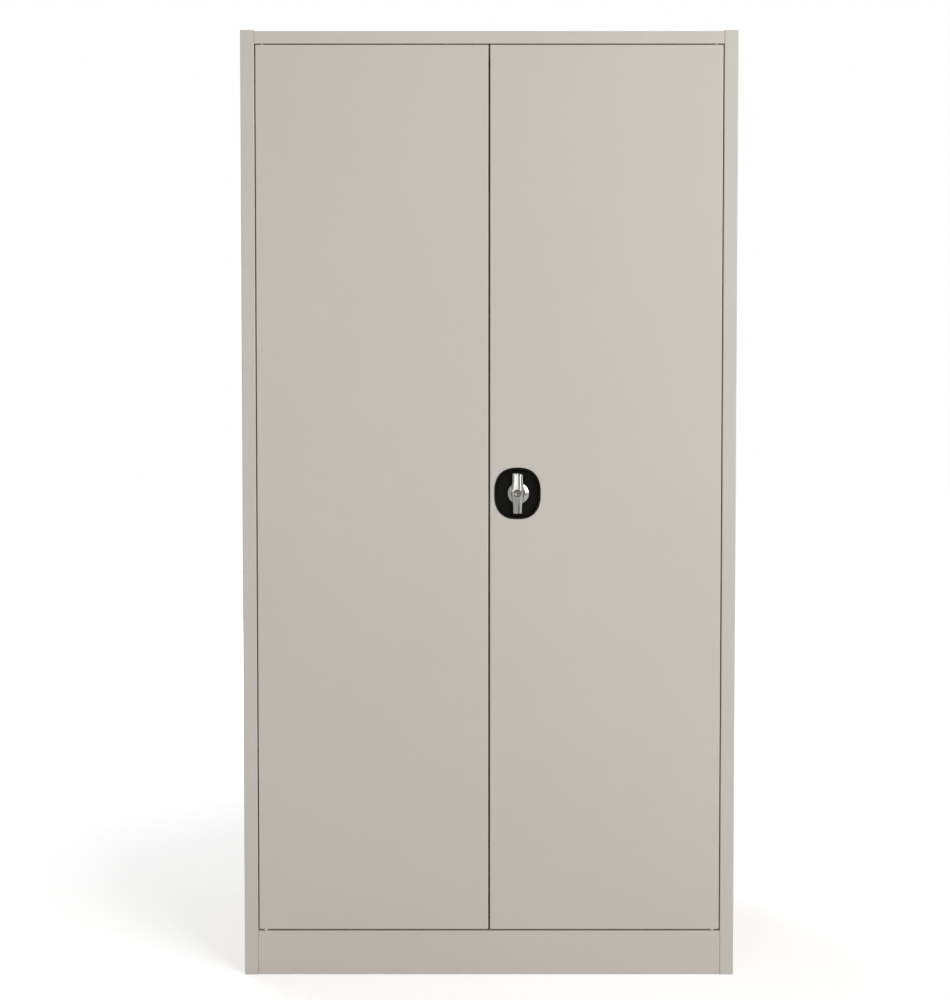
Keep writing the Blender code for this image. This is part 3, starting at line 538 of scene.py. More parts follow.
def moved_verts(made):
    """The new vertices of an extrusion."""
    return [part for part in made["geom"] if isinstance(part, bmesh.types.BMVert)]


def drawn_out(points, run, outward):
    """An open profile drawn out along the run; outward is the way its first stretch faces."""
    bm = bmesh.new()
    corners = [bm.verts.new(p) for p in points]
    edges = [bm.edges.new(pair) for pair in zip(corners, corners[1:])]
    far = moved_verts(bmesh.ops.extrude_edge_only(bm, edges=edges))
    move(bm, run, far)
    facing(bm, outward, (Vector(points[0]) + Vector(points[1]) + run) / 2)
    return bm


def fold_edge(bm, ends, runs):
    """Folds flanges from the edge between two points, one for each run."""
    verts = [min(bm.verts, key=lambda v: (v.co - Vector(end)).length) for end in ends]
    edge = bm.edges.get(verts)
    for run in runs:
        far = moved_verts(bmesh.ops.extrude_edge_only(bm, edges=[edge]))
        move(bm, run, far)
        edge = bm.edges.get(far)


def blank(outline):
    """A flat blank with the given outline, before it is folded."""
    bm = bmesh.new()
    bm.faces.new([bm.verts.new(p) for p in outline])
    return bm


def tray(name):
    """A flat sheet with a flange folded down on each side and its corners relieved."""
    low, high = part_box(name)
    relief = settings().sheet.relief
    x0, y0, x1, y1, level = low.x, low.y, high.x, high.y, high.z
    front = [(x0 + relief, y0), (x1 - relief, y0)]
    right = [(x1, y0 + relief), (x1, y1 - relief)]
    rear = [(x1 - relief, y1), (x0 + relief, y1)]
    left = [(x0, y1 - relief), (x0, y0 + relief)]
    corners = [(x, y, level) for x, y in front + right + rear + left]
    bm = blank(corners)
    for start in range(0, len(corners), 2):
        fold_edge(bm, corners[start : start + 2], [(low.z - level) * up])
    facing(bm, up)
    return shaded(folded(bm, name + "_sheet"))


def box_mesh(low, high):
    """A closed box between two corners."""
    bm = bmesh.new()
    bmesh.ops.create_cube(bm, size=1)
    bmesh.ops.scale(bm, vec=high - low, verts=bm.verts)
    move(bm, (low + high) / 2)
    return bm


def bar(name, start, end, radius):
    """A round bar from one point to another."""
    bm = bmesh.new()
    run = end - start
    steps = settings().sheet.hole_steps
    bmesh.ops.create_cone(
        bm, cap_ends=True, segments=steps, radius1=radius, radius2=radius, depth=run.length
    )
    stand(bm, run, (start + end) / 2)
    return new_piece(bm, name)


def turned(name, profile, place, axis):
    """A turned piece with eased corners, from a profile of (radius, height) pairs."""
    bm = bmesh.new()
    points = [bm.verts.new((radius, 0, height)) for radius, height in profile]
    edges = [bm.edges.new(pair) for pair in zip(points, points[1:])]
    if profile[0][0] > 0:
        edges.append(bm.edges.new((points[-1], points[0])))
    steps = settings().sheet.hole_steps
    bmesh.ops.spin(
        bm, geom=points + edges, axis=up, angle=4 * quarter_turn, steps=steps, use_merge=True
    )
    bmesh.ops.remove_doubles(bm, verts=bm.verts, dist=merge_distance)
    bmesh.ops.recalc_face_normals(bm, faces=bm.faces)
    stand(bm, axis, place)
    return shaded(rounded(new_piece(bm, name), settings().door.edge_round, small_round_steps))


def softened(node, radius):
    """A copy of a small CAD node, merged, with its edges eased."""
    bm = bmesh.new()
    bm.from_mesh(frame["nodes"][node].data)
    bmesh.ops.remove_doubles(bm, verts=bm.verts, dist=merge_distance)
    bmesh.ops.dissolve_limit(bm, angle_limit=flat_angle, verts=bm.verts, edges=bm.edges)
    return shaded(rounded(new_piece(bm, node + "_eased"), radius, small_round_steps - 1))


# Fixed shell


def middle(low, high, **levels):
    """The middle of a box, moved to the given levels of the axes that are named."""
    place = (low + high) / 2
    for axis, level in levels.items():
        setattr(place, axis, level)
    return place


def pin_hole(side_name, name, level, reach):
    """A cutter for a hinge pin's hole through the sheet at a level."""
    place = middle(*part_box(side_name + "_lower_hinge_pin"), z=level)
    radius = settings().door.pin_radius + settings().sheet.fit_gap
    return bar(f"{side_name}_{name}_hole", place - reach * up, place + reach * up, radius)


def rod_hole(rod, level, reach):
    """A cutter for a locking rod's way through the sheet at a level."""
    low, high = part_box(rod)
    room = settings().sheet.fit_gap * (across + deep)
    low, high = low - room, high + room
    low.z, high.z = level - reach, level + reach
    return new_piece(box_mesh(low, high), rod + "_hole")


def threshold_holes(end, level):
    """Cutters through the top rail or the sill, for both hinge pins and for the rod."""
    reach = settings().carcass.rebate_lip / 2
    pins = [pin_hole(side_name, end, level, reach) for side_name in sides]
    return [*pins, rod_hole(end + "_rod", level, reach)]


def make_side_panel(side_name):
    """A side wall with its front post, rear flange and base flange."""
    side = sides[side_name]
    low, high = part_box(side_name + "_side_panel")
    carcass, relief = settings().carcass, settings().sheet.relief
    outer = high.x if side > 0 else low.x
    base = (low.y + carcass.post_depth + relief, high.y - relief)
    foot = [(outer, y, low.z) for y in (low.y, *base, high.y)]
    head = [(outer, y, high.z) for y in (high.y, low.y)]
    bm = blank(foot + head)
    inward = -side * across
    post = [(high.x - low.x) * inward, carcass.post_depth * deep, -carcass.post_lip * inward]
    fold_edge(bm, (foot[0], head[1]), post)
    fold_edge(bm, (foot[3], head[0]), [carcass.rear_flange * inward])
    fold_edge(bm, foot[1:3], [carcass.base_flange * inward])
    facing(bm, -inward)
    return shaded(folded(bm, side_name + "_wall"))


def make_top_panel():
    """The top sheet, notched round the posts, with its front rail, rebate and down flanges."""
    carcass, sheet = settings().carcass, settings().sheet
    low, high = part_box("top_panel")
    inner, rear, level, front = high.x, high.y, high.z, low.y
    rail = -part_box("left_side_panel")[1].x - sheet.fit_gap
    notch = front + carcass.post_depth + sheet.fit_gap
    corner = [(inner, rear - sheet.relief), (inner - sheet.relief, rear)]
    half = [(rail, front), (rail, notch), (inner, notch), *corner]
    right = [(x, y, level) for x, y in half]
    left = [(-x, y, level) for x, y in half]
    bm = blank([left[0], *right, *left[:0:-1]])
    rebate = [-carcass.rail_height * up, carcass.rebate_depth * deep, -carcass.rebate_lip * up]
    fold_edge(bm, (left[0], right[0]), rebate)
    for ends in (left[2:4], right[2:4], (right[4], left[4])):
        fold_edge(bm, ends, [-carcass.skirt * up])
    facing(bm, up)
    top = folded(bm, "top_sheet")
    return shaded(cut(top, threshold_holes("top", level - carcass.rail_height)))


def make_plinth():
    """The kick plate: a foot return, the face, the sill under the doors and the rebate lip."""
    carcass = settings().carcass
    low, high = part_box("plinth")
    sill, rebate = high.z - carcass.rebate_lip, low.y + carcass.rebate_depth
    face = [(low.y + carcass.plinth_foot, low.z), (low.y, low.z), (low.y, sill)]
    points = [(low.x, y, z) for y, z in face + [(rebate, sill), (rebate, high.z)]]
    bm = drawn_out(points, (high.x - low.x) * across, -up)
    kick = folded(bm, "plinth_sheet")
    return shaded(cut(kick, threshold_holes("bottom", sill)))


def make_back_panel(side_name):
    """Half of the back, with a flange folded forward where the two halves meet."""
    carcass, sheet = settings().carcass, settings().sheet
    low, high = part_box(side_name + "_back_panel")
    outer, inner = (low.x, high.x) if side_name == "left" else (high.x, low.x)
    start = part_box("floor_panel")[1].z + sheet.fit_gap
    end = high.z - carcass.skirt - sheet.relief
    seam = [(inner, high.y, level) for level in (low.z, start, end, high.z)]
    bm = blank([(outer, high.y, low.z), *seam, (outer, high.y, high.z)])
    fold_edge(bm, seam[1:3], [-carcass.back_flange * deep])
    facing(bm, deep)
    return shaded(folded(bm, side_name + "_back_sheet"))


def make_divider():
    """The upright sheet between the two compartments, with a hem at its front."""
    low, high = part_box("divider")
    points = [(high.x, low.y, low.z), (low.x, low.y, low.z), (low.x, high.y, low.z)]
    bm = drawn_out(points, (high.z - low.z) * up, -deep)
    return shaded(folded(bm, "divider_sheet"))


def make_hanging_rail():
    """The round tube across the right compartment."""
    low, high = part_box("hanging_rail")
    radius, span = (high.z - low.z) / 2, high.x - low.x
    bore = radius - settings().carcass.rail_wall
    profile = [(radius, 0), (radius, span), (bore, span), (bore, 0)]
    return turned("hanging_rail_tube", profile, middle(low, high, x=low.x), across)


def make_rail_socket(side_name):
    """The cup that holds one end of the hanging rail."""
    low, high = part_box(side_name + "_rail_socket")
    rail_low, rail_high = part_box("hanging_rail")
    side = -sides[side_name]
    inside = (rail_high.z - rail_low.z) / 2 + settings().sheet.fit_gap
    depth, wall = high.x - low.x, 2 * settings().sheet.thickness
    flange = (high.z - low.z) / 2
    cup = [(0, wall), (inside, wall), (inside, depth), (inside + wall, depth)]
    foot = [(inside + wall, wall), (flange, wall), (flange, 0), (0, 0)]
    place = middle(low, high, x=low.x if side > 0 else high.x)
    return turned(side_name + "_rail_cup", cup + foot, place, side * across)


# Doors and pins


def make_door_panel(side_name):
    """A door pan: the face, four returns and a lip all round, open at the back."""
    low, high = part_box(side_name + "_door_panel")
    lip = settings().door.lip
    bm = box_mesh(low, high)
    back = max(bm.faces, key=lambda face: face.calc_center_median().y)
    bmesh.ops.inset_region(bm, faces=[back], thickness=lip, use_even_offset=True)
    bmesh.ops.delete(bm, geom=[back], context="FACES_ONLY")
    facing(bm, -deep, middle(low, high, y=low.y))
    pan = folded(bm, side_name + "_door_pan")
    levels = {"bottom": low.z, "top": high.z}
    cutters = [pin_hole(side_name, end, level, lip) for end, level in levels.items()]
    if side_name == "right":
        cutters.append(dish_cutter())
        cutters += [rod_hole(end + "_rod", levels[end], lip) for end in ("top", "bottom")]
    return shaded(cut(pan, cutters))


def make_stiffener(side_name):
    """A hat channel along the inside of a door's face."""
    low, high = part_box(side_name + "_door_stiffener")
    foot, sole = settings().door.stiffener_foot, low.y + settings().sheet.thickness
    left, right = low.x + foot, high.x - foot
    hat = [(left, sole), (left, high.y), (right, high.y), (right, sole)]
    points = [(x, y, low.z) for x, y in [(low.x, sole), *hat, (high.x, sole)]]
    bm = drawn_out(points, (high.z - low.z) * up, deep)
    return shaded(folded(bm, side_name + "_stiffener_channel"))


def make_pin(node):
    """A headed pin that stands upright, its head at the bottom."""
    low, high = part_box(node)
    shank, neck = settings().door.pin_radius, settings().door.pin_head
    head, height = (high.x - low.x) / 2, high.z - low.z
    profile = [(0, height), (shank, height), (shank, neck), (head, neck), (head, 0), (0, 0)]
    return turned(node + "_turned", profile, middle(low, high, z=low.z), up)


def make_washer(node):
    """The ring on a lower pin that carries the door."""
    low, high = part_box(node)
    bore = settings().door.pin_radius + settings().sheet.fit_gap
    radius, height = (high.x - low.x) / 2, high.z - low.z
    profile = [(bore, height), (radius, height), (radius, 0), (bore, 0)]
    return turned(node + "_ring", profile, middle(low, high, z=low.z), up)


def make_bumper(node):
    """A rubber button on the rebate lip that the door shuts against."""
    low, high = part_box(node)
    radius, height = (high.x - low.x) / 2, high.y - low.y
    crown, shoulder = 0.7 * radius, 0.75 * height
    profile = [(0, height), (crown, height), (radius, shoulder), (radius, 0), (0, 0)]
    return turned(node + "_button", profile, middle(low, high, y=high.y), -deep)


# Lock


# Stations across the blade, left to right: the share of the half width, and the falls behind
# the ridge of the upper and the lower blade
blade_stations = (
    (-1.00, 0.0038, 0.0040),
    (-0.90, 0.0019, 0.0026),
    (-0.40, 0.0010, 0.0014),
    (0.12, 0.0001, 0.0001),
    (0.15, 0.0002, 0.0002),
    (0.36, 0.0026, 0.0024),
    (0.60, 0.0046, 0.0044),
    (0.94, 0.0036, 0.0046),
    (1.00, 0.0044, 0.0052),
)
blade_rows = 20
taper_reach, taper_power = 0.625, 0.8  # where along the blade its taper ends, and its curve
crown_power = 0.8  # curve of the blade's front from the hub down to the tips
blend_rate = 4  # how fast the lower blade's falls give way to the upper's, over the hub
tip_crown = 0.0012  # how far the corners of a tip are pulled in
tip_slant, slant_start = 0.0018, 0.4  # the same for the upper tip's right part, and its start
corner_round, corner_steps = 0.003, 5
rim_round = 0.0006
bore_depth = 0.0096
side_margin, side_tilt = 0.001, 0.2  # what tells the blade's sides from its back and its face
cutter_reach = 0.01  # how far the bore's and the keyway's cutters stand out in front
keyway_width, keyway_height, keyway_depth = 0.0018, 0.0075, 0.003
spindle_share = 0.263  # radius of the dish's hole as a share of the hub's width

# Faces of the turned pieces: the share of the radius, and the fall behind the highest point
disc_face = ((0, 0), (0.38, 0.0002), (0.70, 0.0013), (0.94, 0.0028), (1, 0.0038))
plug_face = ((0, 0.0012), (0.30, 0.0011), (0.62, 0.0007), (0.86, 0), (1, 0.0002))


def squircle(width, height, squareness):
    """An outline as (x, z) pairs: an ellipse at a squareness of 2, and squarer above it."""
    steps, power = settings().lock.dish_points, 2 / squareness
    points = []
    for step in range(steps):
        angle = 2 * math.pi * step / steps
        c, s = math.cos(angle), math.sin(angle)
        x = width / 2 * math.copysign(abs(c) ** power, c)
        z = height / 2 * math.copysign(abs(s) ** power, s)
        points.append((x, z))
    return points


def dish_ring(bm, inset, depth):
    """The dish's outline about the lock's axis, at an inset and a depth."""
    low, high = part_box("lock_dish")
    size = high - low
    outline = squircle(size.x - 2 * inset, size.z - 2 * inset, settings().lock.squareness)
    return [bm.verts.new((x, depth, z)) for x, z in outline]


def round_ring(bm, radius, depth):
    """A circle about the lock's axis, with as many points as the dish."""
    return [bm.verts.new((x, depth, z)) for x, z in squircle(2 * radius, 2 * radius, 2)]


def bridge(bm, rings):
    """Bridges each ring of points to the next."""
    loops = [[bm.edges.new(pair) for pair in zip(ring, ring[1:] + ring[:1])] for ring in rings]
    for outer, inner in zip(loops, loops[1:]):
        bmesh.ops.bridge_loops(bm, edges=outer + inner)


def dish_cutter():
    """The cutter for the dish's opening in the right door."""
    lock = settings().lock
    bm = bmesh.new()
    rings = [dish_ring(bm, lock.overlap, depth) for depth in (-lock.depth, lock.depth)]
    bridge(bm, rings)
    for ring in rings:
        bm.faces.new(ring)
    bmesh.ops.recalc_face_normals(bm, faces=bm.faces)
    move(bm, lock_place)
    return new_piece(bm, "dish_opening")


def make_lock_dish():
    """The black dish: a rolled rim, a steep wall and a floor with the spindle's hole."""
    lock, sheet = settings().lock, settings().sheet
    rim_front = -lock.dish_wall - sheet.fit_gap
    roll = lock.dish_wall * 0.5
    wall_foot = lock.rim + lock.slope
    hole = lock.hub_width * spindle_share
    stations = [
        (0.0, rim_front + roll),
        (roll * 0.3, rim_front + roll * 0.3),
        (roll, rim_front),
        (lock.rim - roll, rim_front),
        (lock.rim - roll * 0.2, rim_front + roll * 0.3),
        (lock.rim + roll * 0.2, rim_front + roll),
        (wall_foot - roll * 0.4, lock.depth - 2 * roll),
        (wall_foot + roll * 0.4, lock.depth - roll * 0.5),
        (wall_foot + 2 * roll, lock.depth),
    ]
    # The rings are bridged while they stand well apart, and only then set at their depths
    bm = bmesh.new()
    rings = [dish_ring(bm, inset, lock.depth * n) for n, (inset, _) in enumerate(stations)]
    rings.append(round_ring(bm, hole, lock.depth * len(stations)))
    bridge(bm, rings)
    for ring, depth in zip(rings, [depth for _, depth in stations] + [lock.depth]):
        for vert in ring:
            vert.co.y = depth
    facing(bm, -deep, Vector((0, lock.depth, hole)))
    move(bm, lock_place)
    return shaded(walled(new_piece(bm, "recessed_dish"), lock.dish_wall - sheet.fit_gap))


def blade_half_width(share):
    """Half the handle's width at a share of its reach: -1 at the lower tip, 1 at the upper."""
    lock = settings().lock
    tip = lock.upper_tip if share > 0 else lock.lower_tip
    tapered = min(1, abs(share) / taper_reach) ** taper_power
    return (lock.hub_width + (tip - lock.hub_width) * tapered) / 2


def tip_drop(station, share):
    """How far a tip's corners are pulled in, so that the blade ends in a rounded crown."""
    if abs(share) < 1 - merge_distance:
        return 0.0
    slant = tip_slant if share > 0 and station > slant_start else 0.0
    return tip_crown * abs(station) ** 3 + slant


def blade_point(column, share, reach_up, reach_down):
    """A point of the blade's face, about the lock's axis."""
    lock = settings().lock
    station, upper_fall, lower_fall = blade_stations[column]
    reach = reach_up if share > 0 else reach_down
    mix = 0.5 + 0.5 * math.tanh(share * blend_rate)
    fall = lower_fall + (upper_fall - lower_fall) * mix
    rise = lock.hub_proud - lock.tip_proud
    height = lock.tip_proud + rise * (1 - abs(share)) ** crown_power
    level = share * reach - math.copysign(tip_drop(station, share), share)
    return Vector((station * blade_half_width(share), fall - height, level))


def is_blade_corner(edge):
    """Whether an edge runs from front to back at one of the blade's four corners."""
    run = edge.verts[0].co - edge.verts[1].co
    runs_back = abs(run.x) < merge_distance and abs(run.z) < merge_distance
    return runs_back and edge.calc_face_angle(0) > quarter_turn / 2


def is_blade_rim(edge, back):
    """Whether an edge lies between the blade's face and its sides."""
    in_front = all(vert.co.y < back - side_margin for vert in edge.verts)
    steep = [abs(face.normal.y) < side_tilt for face in edge.link_faces]
    return in_front and len(steep) == 2 and steep[0] != steep[1]


def ease(bm, edges, radius, segments):
    """Rounds some of a mesh's edges."""
    bmesh.ops.bevel(
        bm, geom=edges, offset=radius, segments=segments, profile=0.5, affect="EDGES", material=-1
    )


def clear_slivers(bm):
    """Takes out the doubled corners and empty faces that bevels leave, before a join."""
    bmesh.ops.remove_doubles(bm, verts=bm.verts, dist=merge_distance)
    bmesh.ops.dissolve_degenerate(bm, edges=bm.edges, dist=merge_distance)
    slivers = [face for face in bm.faces if face.calc_area() < sliver_area]
    longest = [max(face.edges, key=lambda edge: edge.calc_length()) for face in slivers]
    bmesh.ops.dissolve_edges(bm, edges=list(dict.fromkeys(longest)), use_verts=False)


def make_handle():
    """The cast handle: a ridged blade over a round disc, with the bore for the key cylinder."""
    lock = settings().lock
    low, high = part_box("handle")
    reach_up, reach_down = high.z - lock_place.z, lock_place.z - low.z
    columns = len(blade_stations) - 1
    bm = bmesh.new()
    bmesh.ops.create_grid(bm, x_segments=columns, y_segments=blade_rows, size=1)
    for vert in bm.verts:
        column = round((vert.co.x + 1) / 2 * columns)
        vert.co = blade_point(column, vert.co.y, reach_up, reach_down)
    back = moved_verts(bmesh.ops.extrude_face_region(bm, geom=list(bm.faces)))
    for vert in back:
        vert.co.y = lock.blade_back
    bmesh.ops.recalc_face_normals(bm, faces=bm.faces)
    ease(bm, [edge for edge in bm.edges if is_blade_corner(edge)], corner_round, corner_steps)
    rims = [edge for edge in bm.edges if is_blade_rim(edge, lock.blade_back)]
    ease(bm, rims, rim_round, small_round_steps)
    clear_slivers(bm)
    move(bm, lock_place)
    blade = cut(new_piece(bm, "handle_casting"), [make_handle_disc()], "UNION")
    face = lock_place - lock.hub_proud * deep
    radius = lock.cylinder_radius + settings().sheet.fit_gap
    bore = bar("bore", face - cutter_reach * deep, face + bore_depth * deep, radius)
    return shaded(cut(blade, [bore]))


def faced(name, radius, height, face, place):
    """A turned piece that looks forward, with one of the faces listed above."""
    profile = [(radius * share, height - fall) for share, fall in face]
    return turned(name, profile + [(radius, 0), (0, 0)], place, -deep)


def make_handle_disc():
    """The round plate behind the blade, a little right of the axis, with a crowned face."""
    lock = settings().lock
    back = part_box("handle")[1].y
    thick = back - lock_place.y - lock.disc_front
    place = Vector((lock_place.x + lock.disc_shift, back, lock_place.z))
    return faced("handle_disc", lock.disc_radius, thick, disc_face, place)


def make_lock_cylinder():
    """The key plug in the handle's hub, with a stepped face and its keyway."""
    low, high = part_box("lock_cylinder")
    place = Vector((lock_place.x, high.y, lock_place.z))
    plug = faced("key_plug", (high.x - low.x) / 2, high.y - low.y, plug_face, place)
    place.y = low.y
    half = (keyway_width * across + keyway_height * up) / 2
    start, end = place - half - cutter_reach * deep, place + half + keyway_depth * deep
    return shaded(cut(plug, [new_piece(box_mesh(start, end), "keyway")]))


# Operators


def one(node, make, *values):
    """One node's row: its name, what makes its piece and the values for that."""
    return [(node, make, values)]


def both(ending, make):
    """The rows of a left and a right node whose pieces are made from the side's name."""
    return [(name + ending, make, (name,)) for name in sides]


def each(ending, make, *values):
    """The rows of every node with the ending, whose pieces are made from the node's name."""
    nodes = sorted(node for node in frame["nodes"] if node.endswith(ending))
    return [(node, make, (node, *values)) for node in nodes]


class PieceOperator:
    """What the operators that make pieces share; each lists its rows."""

    bl_options = {"REGISTER", "UNDO"}

    def execute(self, context):
        """Makes each piece and puts it in its CAD node's place."""
        for node, make, values in self.rows:
            made = make(*values)
            if not made.data.polygons:
                raise RuntimeError(f"{node} has no faces")
            dress(made, node)
        return {"FINISHED"}


class WARDROBE_OT_side_panels(PieceOperator, bpy.types.Operator):
    """Makes both side panels and the caps of their front posts"""

    bl_idname = "wardrobe.side_panels"
    bl_label = "Side panels"
    rows = both("_side_panel", make_side_panel) + each("_post_cap", softened, plate_ease)


class WARDROBE_OT_top_panel(PieceOperator, bpy.types.Operator):
    """Makes the top sheet with its front rail"""

    bl_idname = "wardrobe.top_panel"
    bl_label = "Top panel"
    rows = one("top_panel", make_top_panel)


class WARDROBE_OT_plinth(PieceOperator, bpy.types.Operator):
    """Makes the kick plate and sill under the doors"""

    bl_idname = "wardrobe.plinth"
    bl_label = "Plinth"
    rows = one("plinth", make_plinth)


class WARDROBE_OT_back_panels(PieceOperator, bpy.types.Operator):
    """Makes the two halves of the back"""

    bl_idname = "wardrobe.back_panels"
    bl_label = "Back panels"
    rows = both("_back_panel", make_back_panel)


class WARDROBE_OT_shelves(PieceOperator, bpy.types.Operator):
    """Makes the floor, the hat shelf, the adjustable shelves and the divider"""

    bl_idname = "wardrobe.shelves"
    bl_label = "Shelves and divider"
    rows = each("floor_panel", tray) + each("_shelf", tray) + one("divider", make_divider)


class WARDROBE_OT_uprights(PieceOperator, bpy.types.Operator):
    """Makes the slotted uprights and the clips that hook into them"""

    bl_idname = "wardrobe.uprights"
    bl_label = "Uprights and clips"
    rows = each("_upright", softened, slot_ease) + each("_shelf_clip", softened, plate_ease)


class WARDROBE_OT_hanging_rail(PieceOperator, bpy.types.Operator):
    """Makes the hanging rail and the two cups that hold it"""

    bl_idname = "wardrobe.hanging_rail"
    bl_label = "Hanging rail"
    rows = one("hanging_rail", make_hanging_rail) + both("_rail_socket", make_rail_socket)


class WARDROBE_OT_doors(PieceOperator, bpy.types.Operator):
    """Makes both doors and the channels that stiffen them"""

    bl_idname = "wardrobe.doors"
    bl_label = "Doors"
    rows = both("_door_panel", make_door_panel) + both("_door_stiffener", make_stiffener)


class WARDROBE_OT_hinges(PieceOperator, bpy.types.Operator):
    """Makes the hinge pins, their washers and the rubber bumpers"""

    bl_idname = "wardrobe.hinges"
    bl_label = "Hinges and bumpers"
    rows = [
        *each("_hinge_pin", make_pin),
        *each("_hinge_washer", make_washer),
        *each("_bumper", make_bumper),
    ]


class WARDROBE_OT_lock_dish(PieceOperator, bpy.types.Operator):
    """Makes the black dish round the handle"""

    bl_idname = "wardrobe.lock_dish"
    bl_label = "Lock dish"
    rows = one("lock_dish", make_lock_dish)


class WARDROBE_OT_handle(PieceOperator, bpy.types.Operator):
    """Makes the handle and its key cylinder"""

    bl_idname = "wardrobe.handle"
    bl_label = "Handle"
    rows = one("handle", make_handle) + one("lock_cylinder", make_lock_cylinder)


class WARDROBE_OT_lock_works(PieceOperator, bpy.types.Operator):
    """Makes the rods, their guides and what the handle turns behind the door"""

    bl_idname = "wardrobe.lock_works"
    bl_label = "Lock works"
    rows = [
        row
        for ending in ("_spindle", "_cam", "_tongue", "_screw", "top_rod", "bottom_rod", "_guide")
        for row in each(ending, softened, plate_ease)
    ]


class WARDROBE_OT_stage(bpy.types.Operator):
    """Makes the pale floor, the white room, the soft lights and the camera"""

    bl_idname = "wardrobe.stage"
    bl_label = "Stage"
    bl_options = {"REGISTER", "UNDO"}

    def execute(self, context):
        """Sets the stage round the wardrobe."""
        stage = settings().stage
        make_floor(stage)
        make_room(stage)
        for lamp, power in zip(lamps, (stage.key_power, stage.fill_power, stage.rear_power)):
            soft_light(*lamp, power)
        make_camera(context, stage)
        context.scene.view_settings.view_transform = "Standard"
        return {"FINISHED"}


# Stage


# Each soft light: its name, where it stands, its width and its colour
lamps = (
    ("key light", (3.4, -3.9, 2.7), 3.2, (1.0, 0.985, 0.975)),
    ("fill light", (-0.96, -3.03, 1.45), 0.6, (0.975, 1.0, 0.985)),
    ("rear light", (-3.0, 3.6, 2.0), 4.0, (1.0, 1.0, 1.0)),
)
lamp_target = Vector((0, 0, 1.0))
lit_floor, seen_floor = (0.8, 0.8, 0.8, 1), (0.95, 0.95, 0.95, 1)
white = (1, 1, 1, 1)
film_size = 36  # millimetres


def seen_directly(tree):
    """1 for rays that the camera, a gloss or a clear surface sends, and 0 for the others."""
    rays = tree.nodes.new("ShaderNodeLightPath").outputs
    shiny = calculate(tree, "MAXIMUM", rays["Is Glossy Ray"], rays["Is Transmission Ray"])
    return calculate(tree, "MAXIMUM", rays["Is Camera Ray"], shiny)


def make_floor(stage):
    """A pale floor that looks white, more so away from the wardrobe, and takes its shadow."""
    bm = bmesh.new()
    bmesh.ops.create_grid(bm, x_segments=1, y_segments=1, size=stage.floor_size / 2)
    floor = new_piece(bm, "studio_floor")
    made = bpy.data.materials.new("studio_floor")
    made.use_nodes = True
    tree = made.node_tree
    tree.nodes.clear()
    place = tree.nodes.new("ShaderNodeTexCoord").outputs["Object"]
    away = add_node(tree, "ShaderNodeVectorMath", {0: place}, operation="LENGTH")
    start, end = stage.near_floor
    past = calculate(tree, "SUBTRACT", away.outputs["Value"], start)
    share = calculate(tree, "DIVIDE", past, end - start)
    strength = spread(tree, share, *stage.floor_glow)
    glow = add_node(tree, "ShaderNodeEmission", {"Color": white, "Strength": strength})
    lit = add_node(tree, "ShaderNodeBsdfDiffuse", {"Color": lit_floor})
    shadowed = add_node(tree, "ShaderNodeBsdfDiffuse", {"Color": seen_floor})
    parts = {0: shadowed.outputs["BSDF"], 1: glow.outputs["Emission"]}
    seen = add_node(tree, "ShaderNodeAddShader", parts)
    parts = {0: seen_directly(tree), 1: lit.outputs["BSDF"], 2: seen.outputs["Shader"]}
    mix = add_node(tree, "ShaderNodeMixShader", parts)
    add_node(tree, "ShaderNodeOutputMaterial", {"Surface": mix.outputs["Shader"]})
    floor.data.materials.append(made)


def make_room(stage):
    """White all round to the eye and in reflections, with an even, softer light on surfaces."""
    world = bpy.data.worlds.new("white_room")
    bpy.context.scene.world = world
    world.use_nodes = True
    tree = world.node_tree
    background = tree.nodes["Background"].inputs
    background["Color"].default_value = white
    wire(tree, spread(tree, seen_directly(tree), stage.world_light, 1.0), background["Strength"])


def soft_light(name, place, width, colour, power):
    """A square soft light aimed at the wardrobe's middle."""
    lamp = bpy.data.lights.new(name, "AREA")
    lamp.size = width
    lamp.energy = power
    lamp.color = colour
    obj = bpy.data.objects.new(name, lamp)
    obj.location = place
    obj.rotation_mode = "QUATERNION"
    obj.rotation_quaternion = (lamp_target - Vector(place)).to_track_quat("-Z", "Y")
    bpy.context.scene.collection.objects.link(obj)


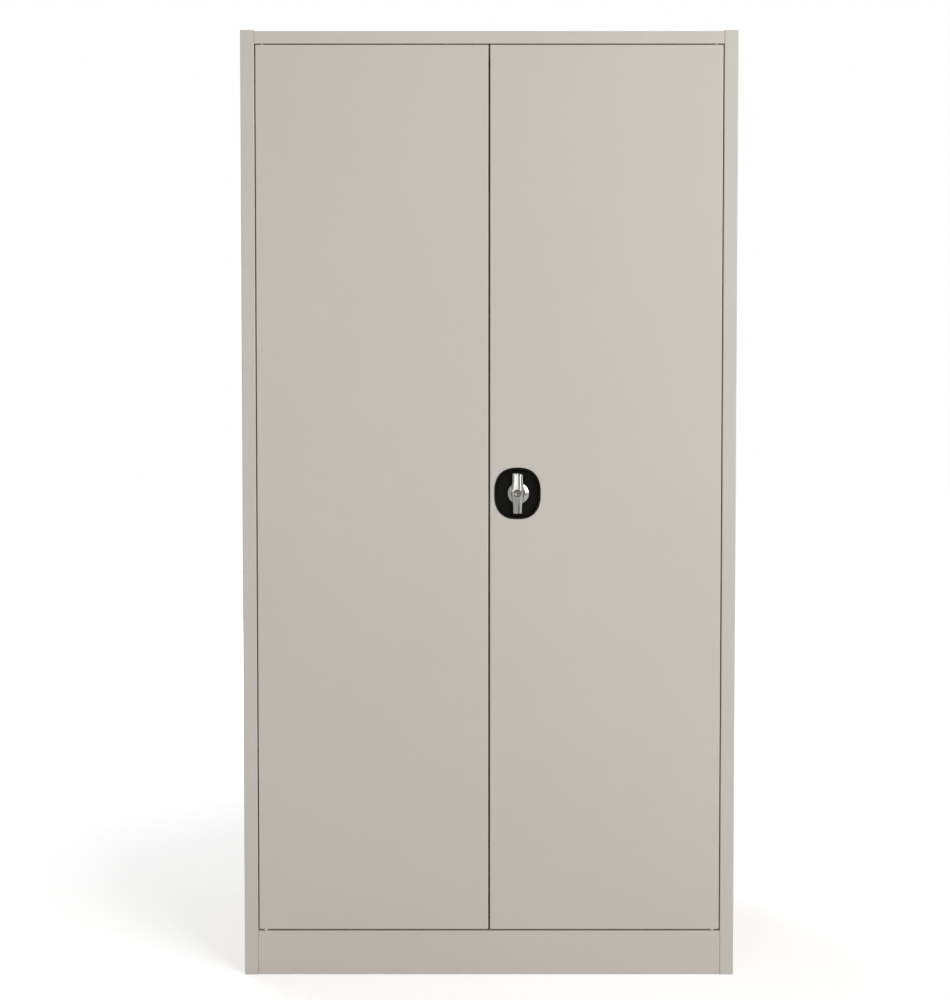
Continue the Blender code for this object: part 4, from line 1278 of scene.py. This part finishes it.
def make_camera(context, stage):
    """The camera at the photograph's place."""
    data = bpy.data.cameras.new("camera")
    data.lens = stage.lens
    data.sensor_fit = "VERTICAL"
    data.sensor_height = data.sensor_width = film_size
    camera = bpy.data.objects.new("camera", data)
    camera.location = stage.camera_place
    camera.rotation_euler = (quarter_turn - stage.camera_dip, 0, 0)
    context.scene.collection.objects.link(camera)
    context.scene.camera = camera


# Panel and registration


class WARDROBE_PT_sidebar(bpy.types.Panel):
    """Lists the wardrobe's pieces in the order in which they are made, and its sizes"""

    bl_label = "Steel wardrobe"
    bl_idname = "WARDROBE_PT_sidebar"
    bl_space_type = "VIEW_3D"
    bl_region_type = "UI"
    bl_category = "Wardrobe"

    def draw(self, context):
        """Draws the operators, then the settings."""
        for operator in operators:
            self.layout.operator(operator.bl_idname)
        for name in WardrobeSettings.__annotations__:
            box = self.layout.box()
            box.label(text=name.capitalize())
            group = getattr(context.scene.wardrobe, name)
            for field in group.__annotations__:
                box.prop(group, field)


setting_groups = (
    SheetSizes, CarcassSizes, DoorSizes, LockSizes, FinishColours, StageSizes, WardrobeSettings
)
operators = (
    WARDROBE_OT_side_panels,
    WARDROBE_OT_top_panel,
    WARDROBE_OT_plinth,
    WARDROBE_OT_back_panels,
    WARDROBE_OT_shelves,
    WARDROBE_OT_uprights,
    WARDROBE_OT_hanging_rail,
    WARDROBE_OT_doors,
    WARDROBE_OT_hinges,
    WARDROBE_OT_lock_dish,
    WARDROBE_OT_handle,
    WARDROBE_OT_lock_works,
    WARDROBE_OT_stage,
)
add_on_classes = (*setting_groups, *operators, WARDROBE_PT_sidebar)


def register():
    """Registers the classes and gives the scene its settings."""
    for cls in add_on_classes:
        bpy.utils.register_class(cls)
    bpy.types.Scene.wardrobe = bpy.props.PointerProperty(type=WardrobeSettings)


def unregister():
    """Takes the settings and the classes out again."""
    del bpy.types.Scene.wardrobe
    for cls in reversed(add_on_classes):
        bpy.utils.unregister_class(cls)


def main():
    """Makes every piece and the stage."""
    register()
    for operator in operators:
        group, name = operator.bl_idname.split(".")
        getattr(getattr(bpy.ops, group), name)()


if __name__ == "__main__":
    main()
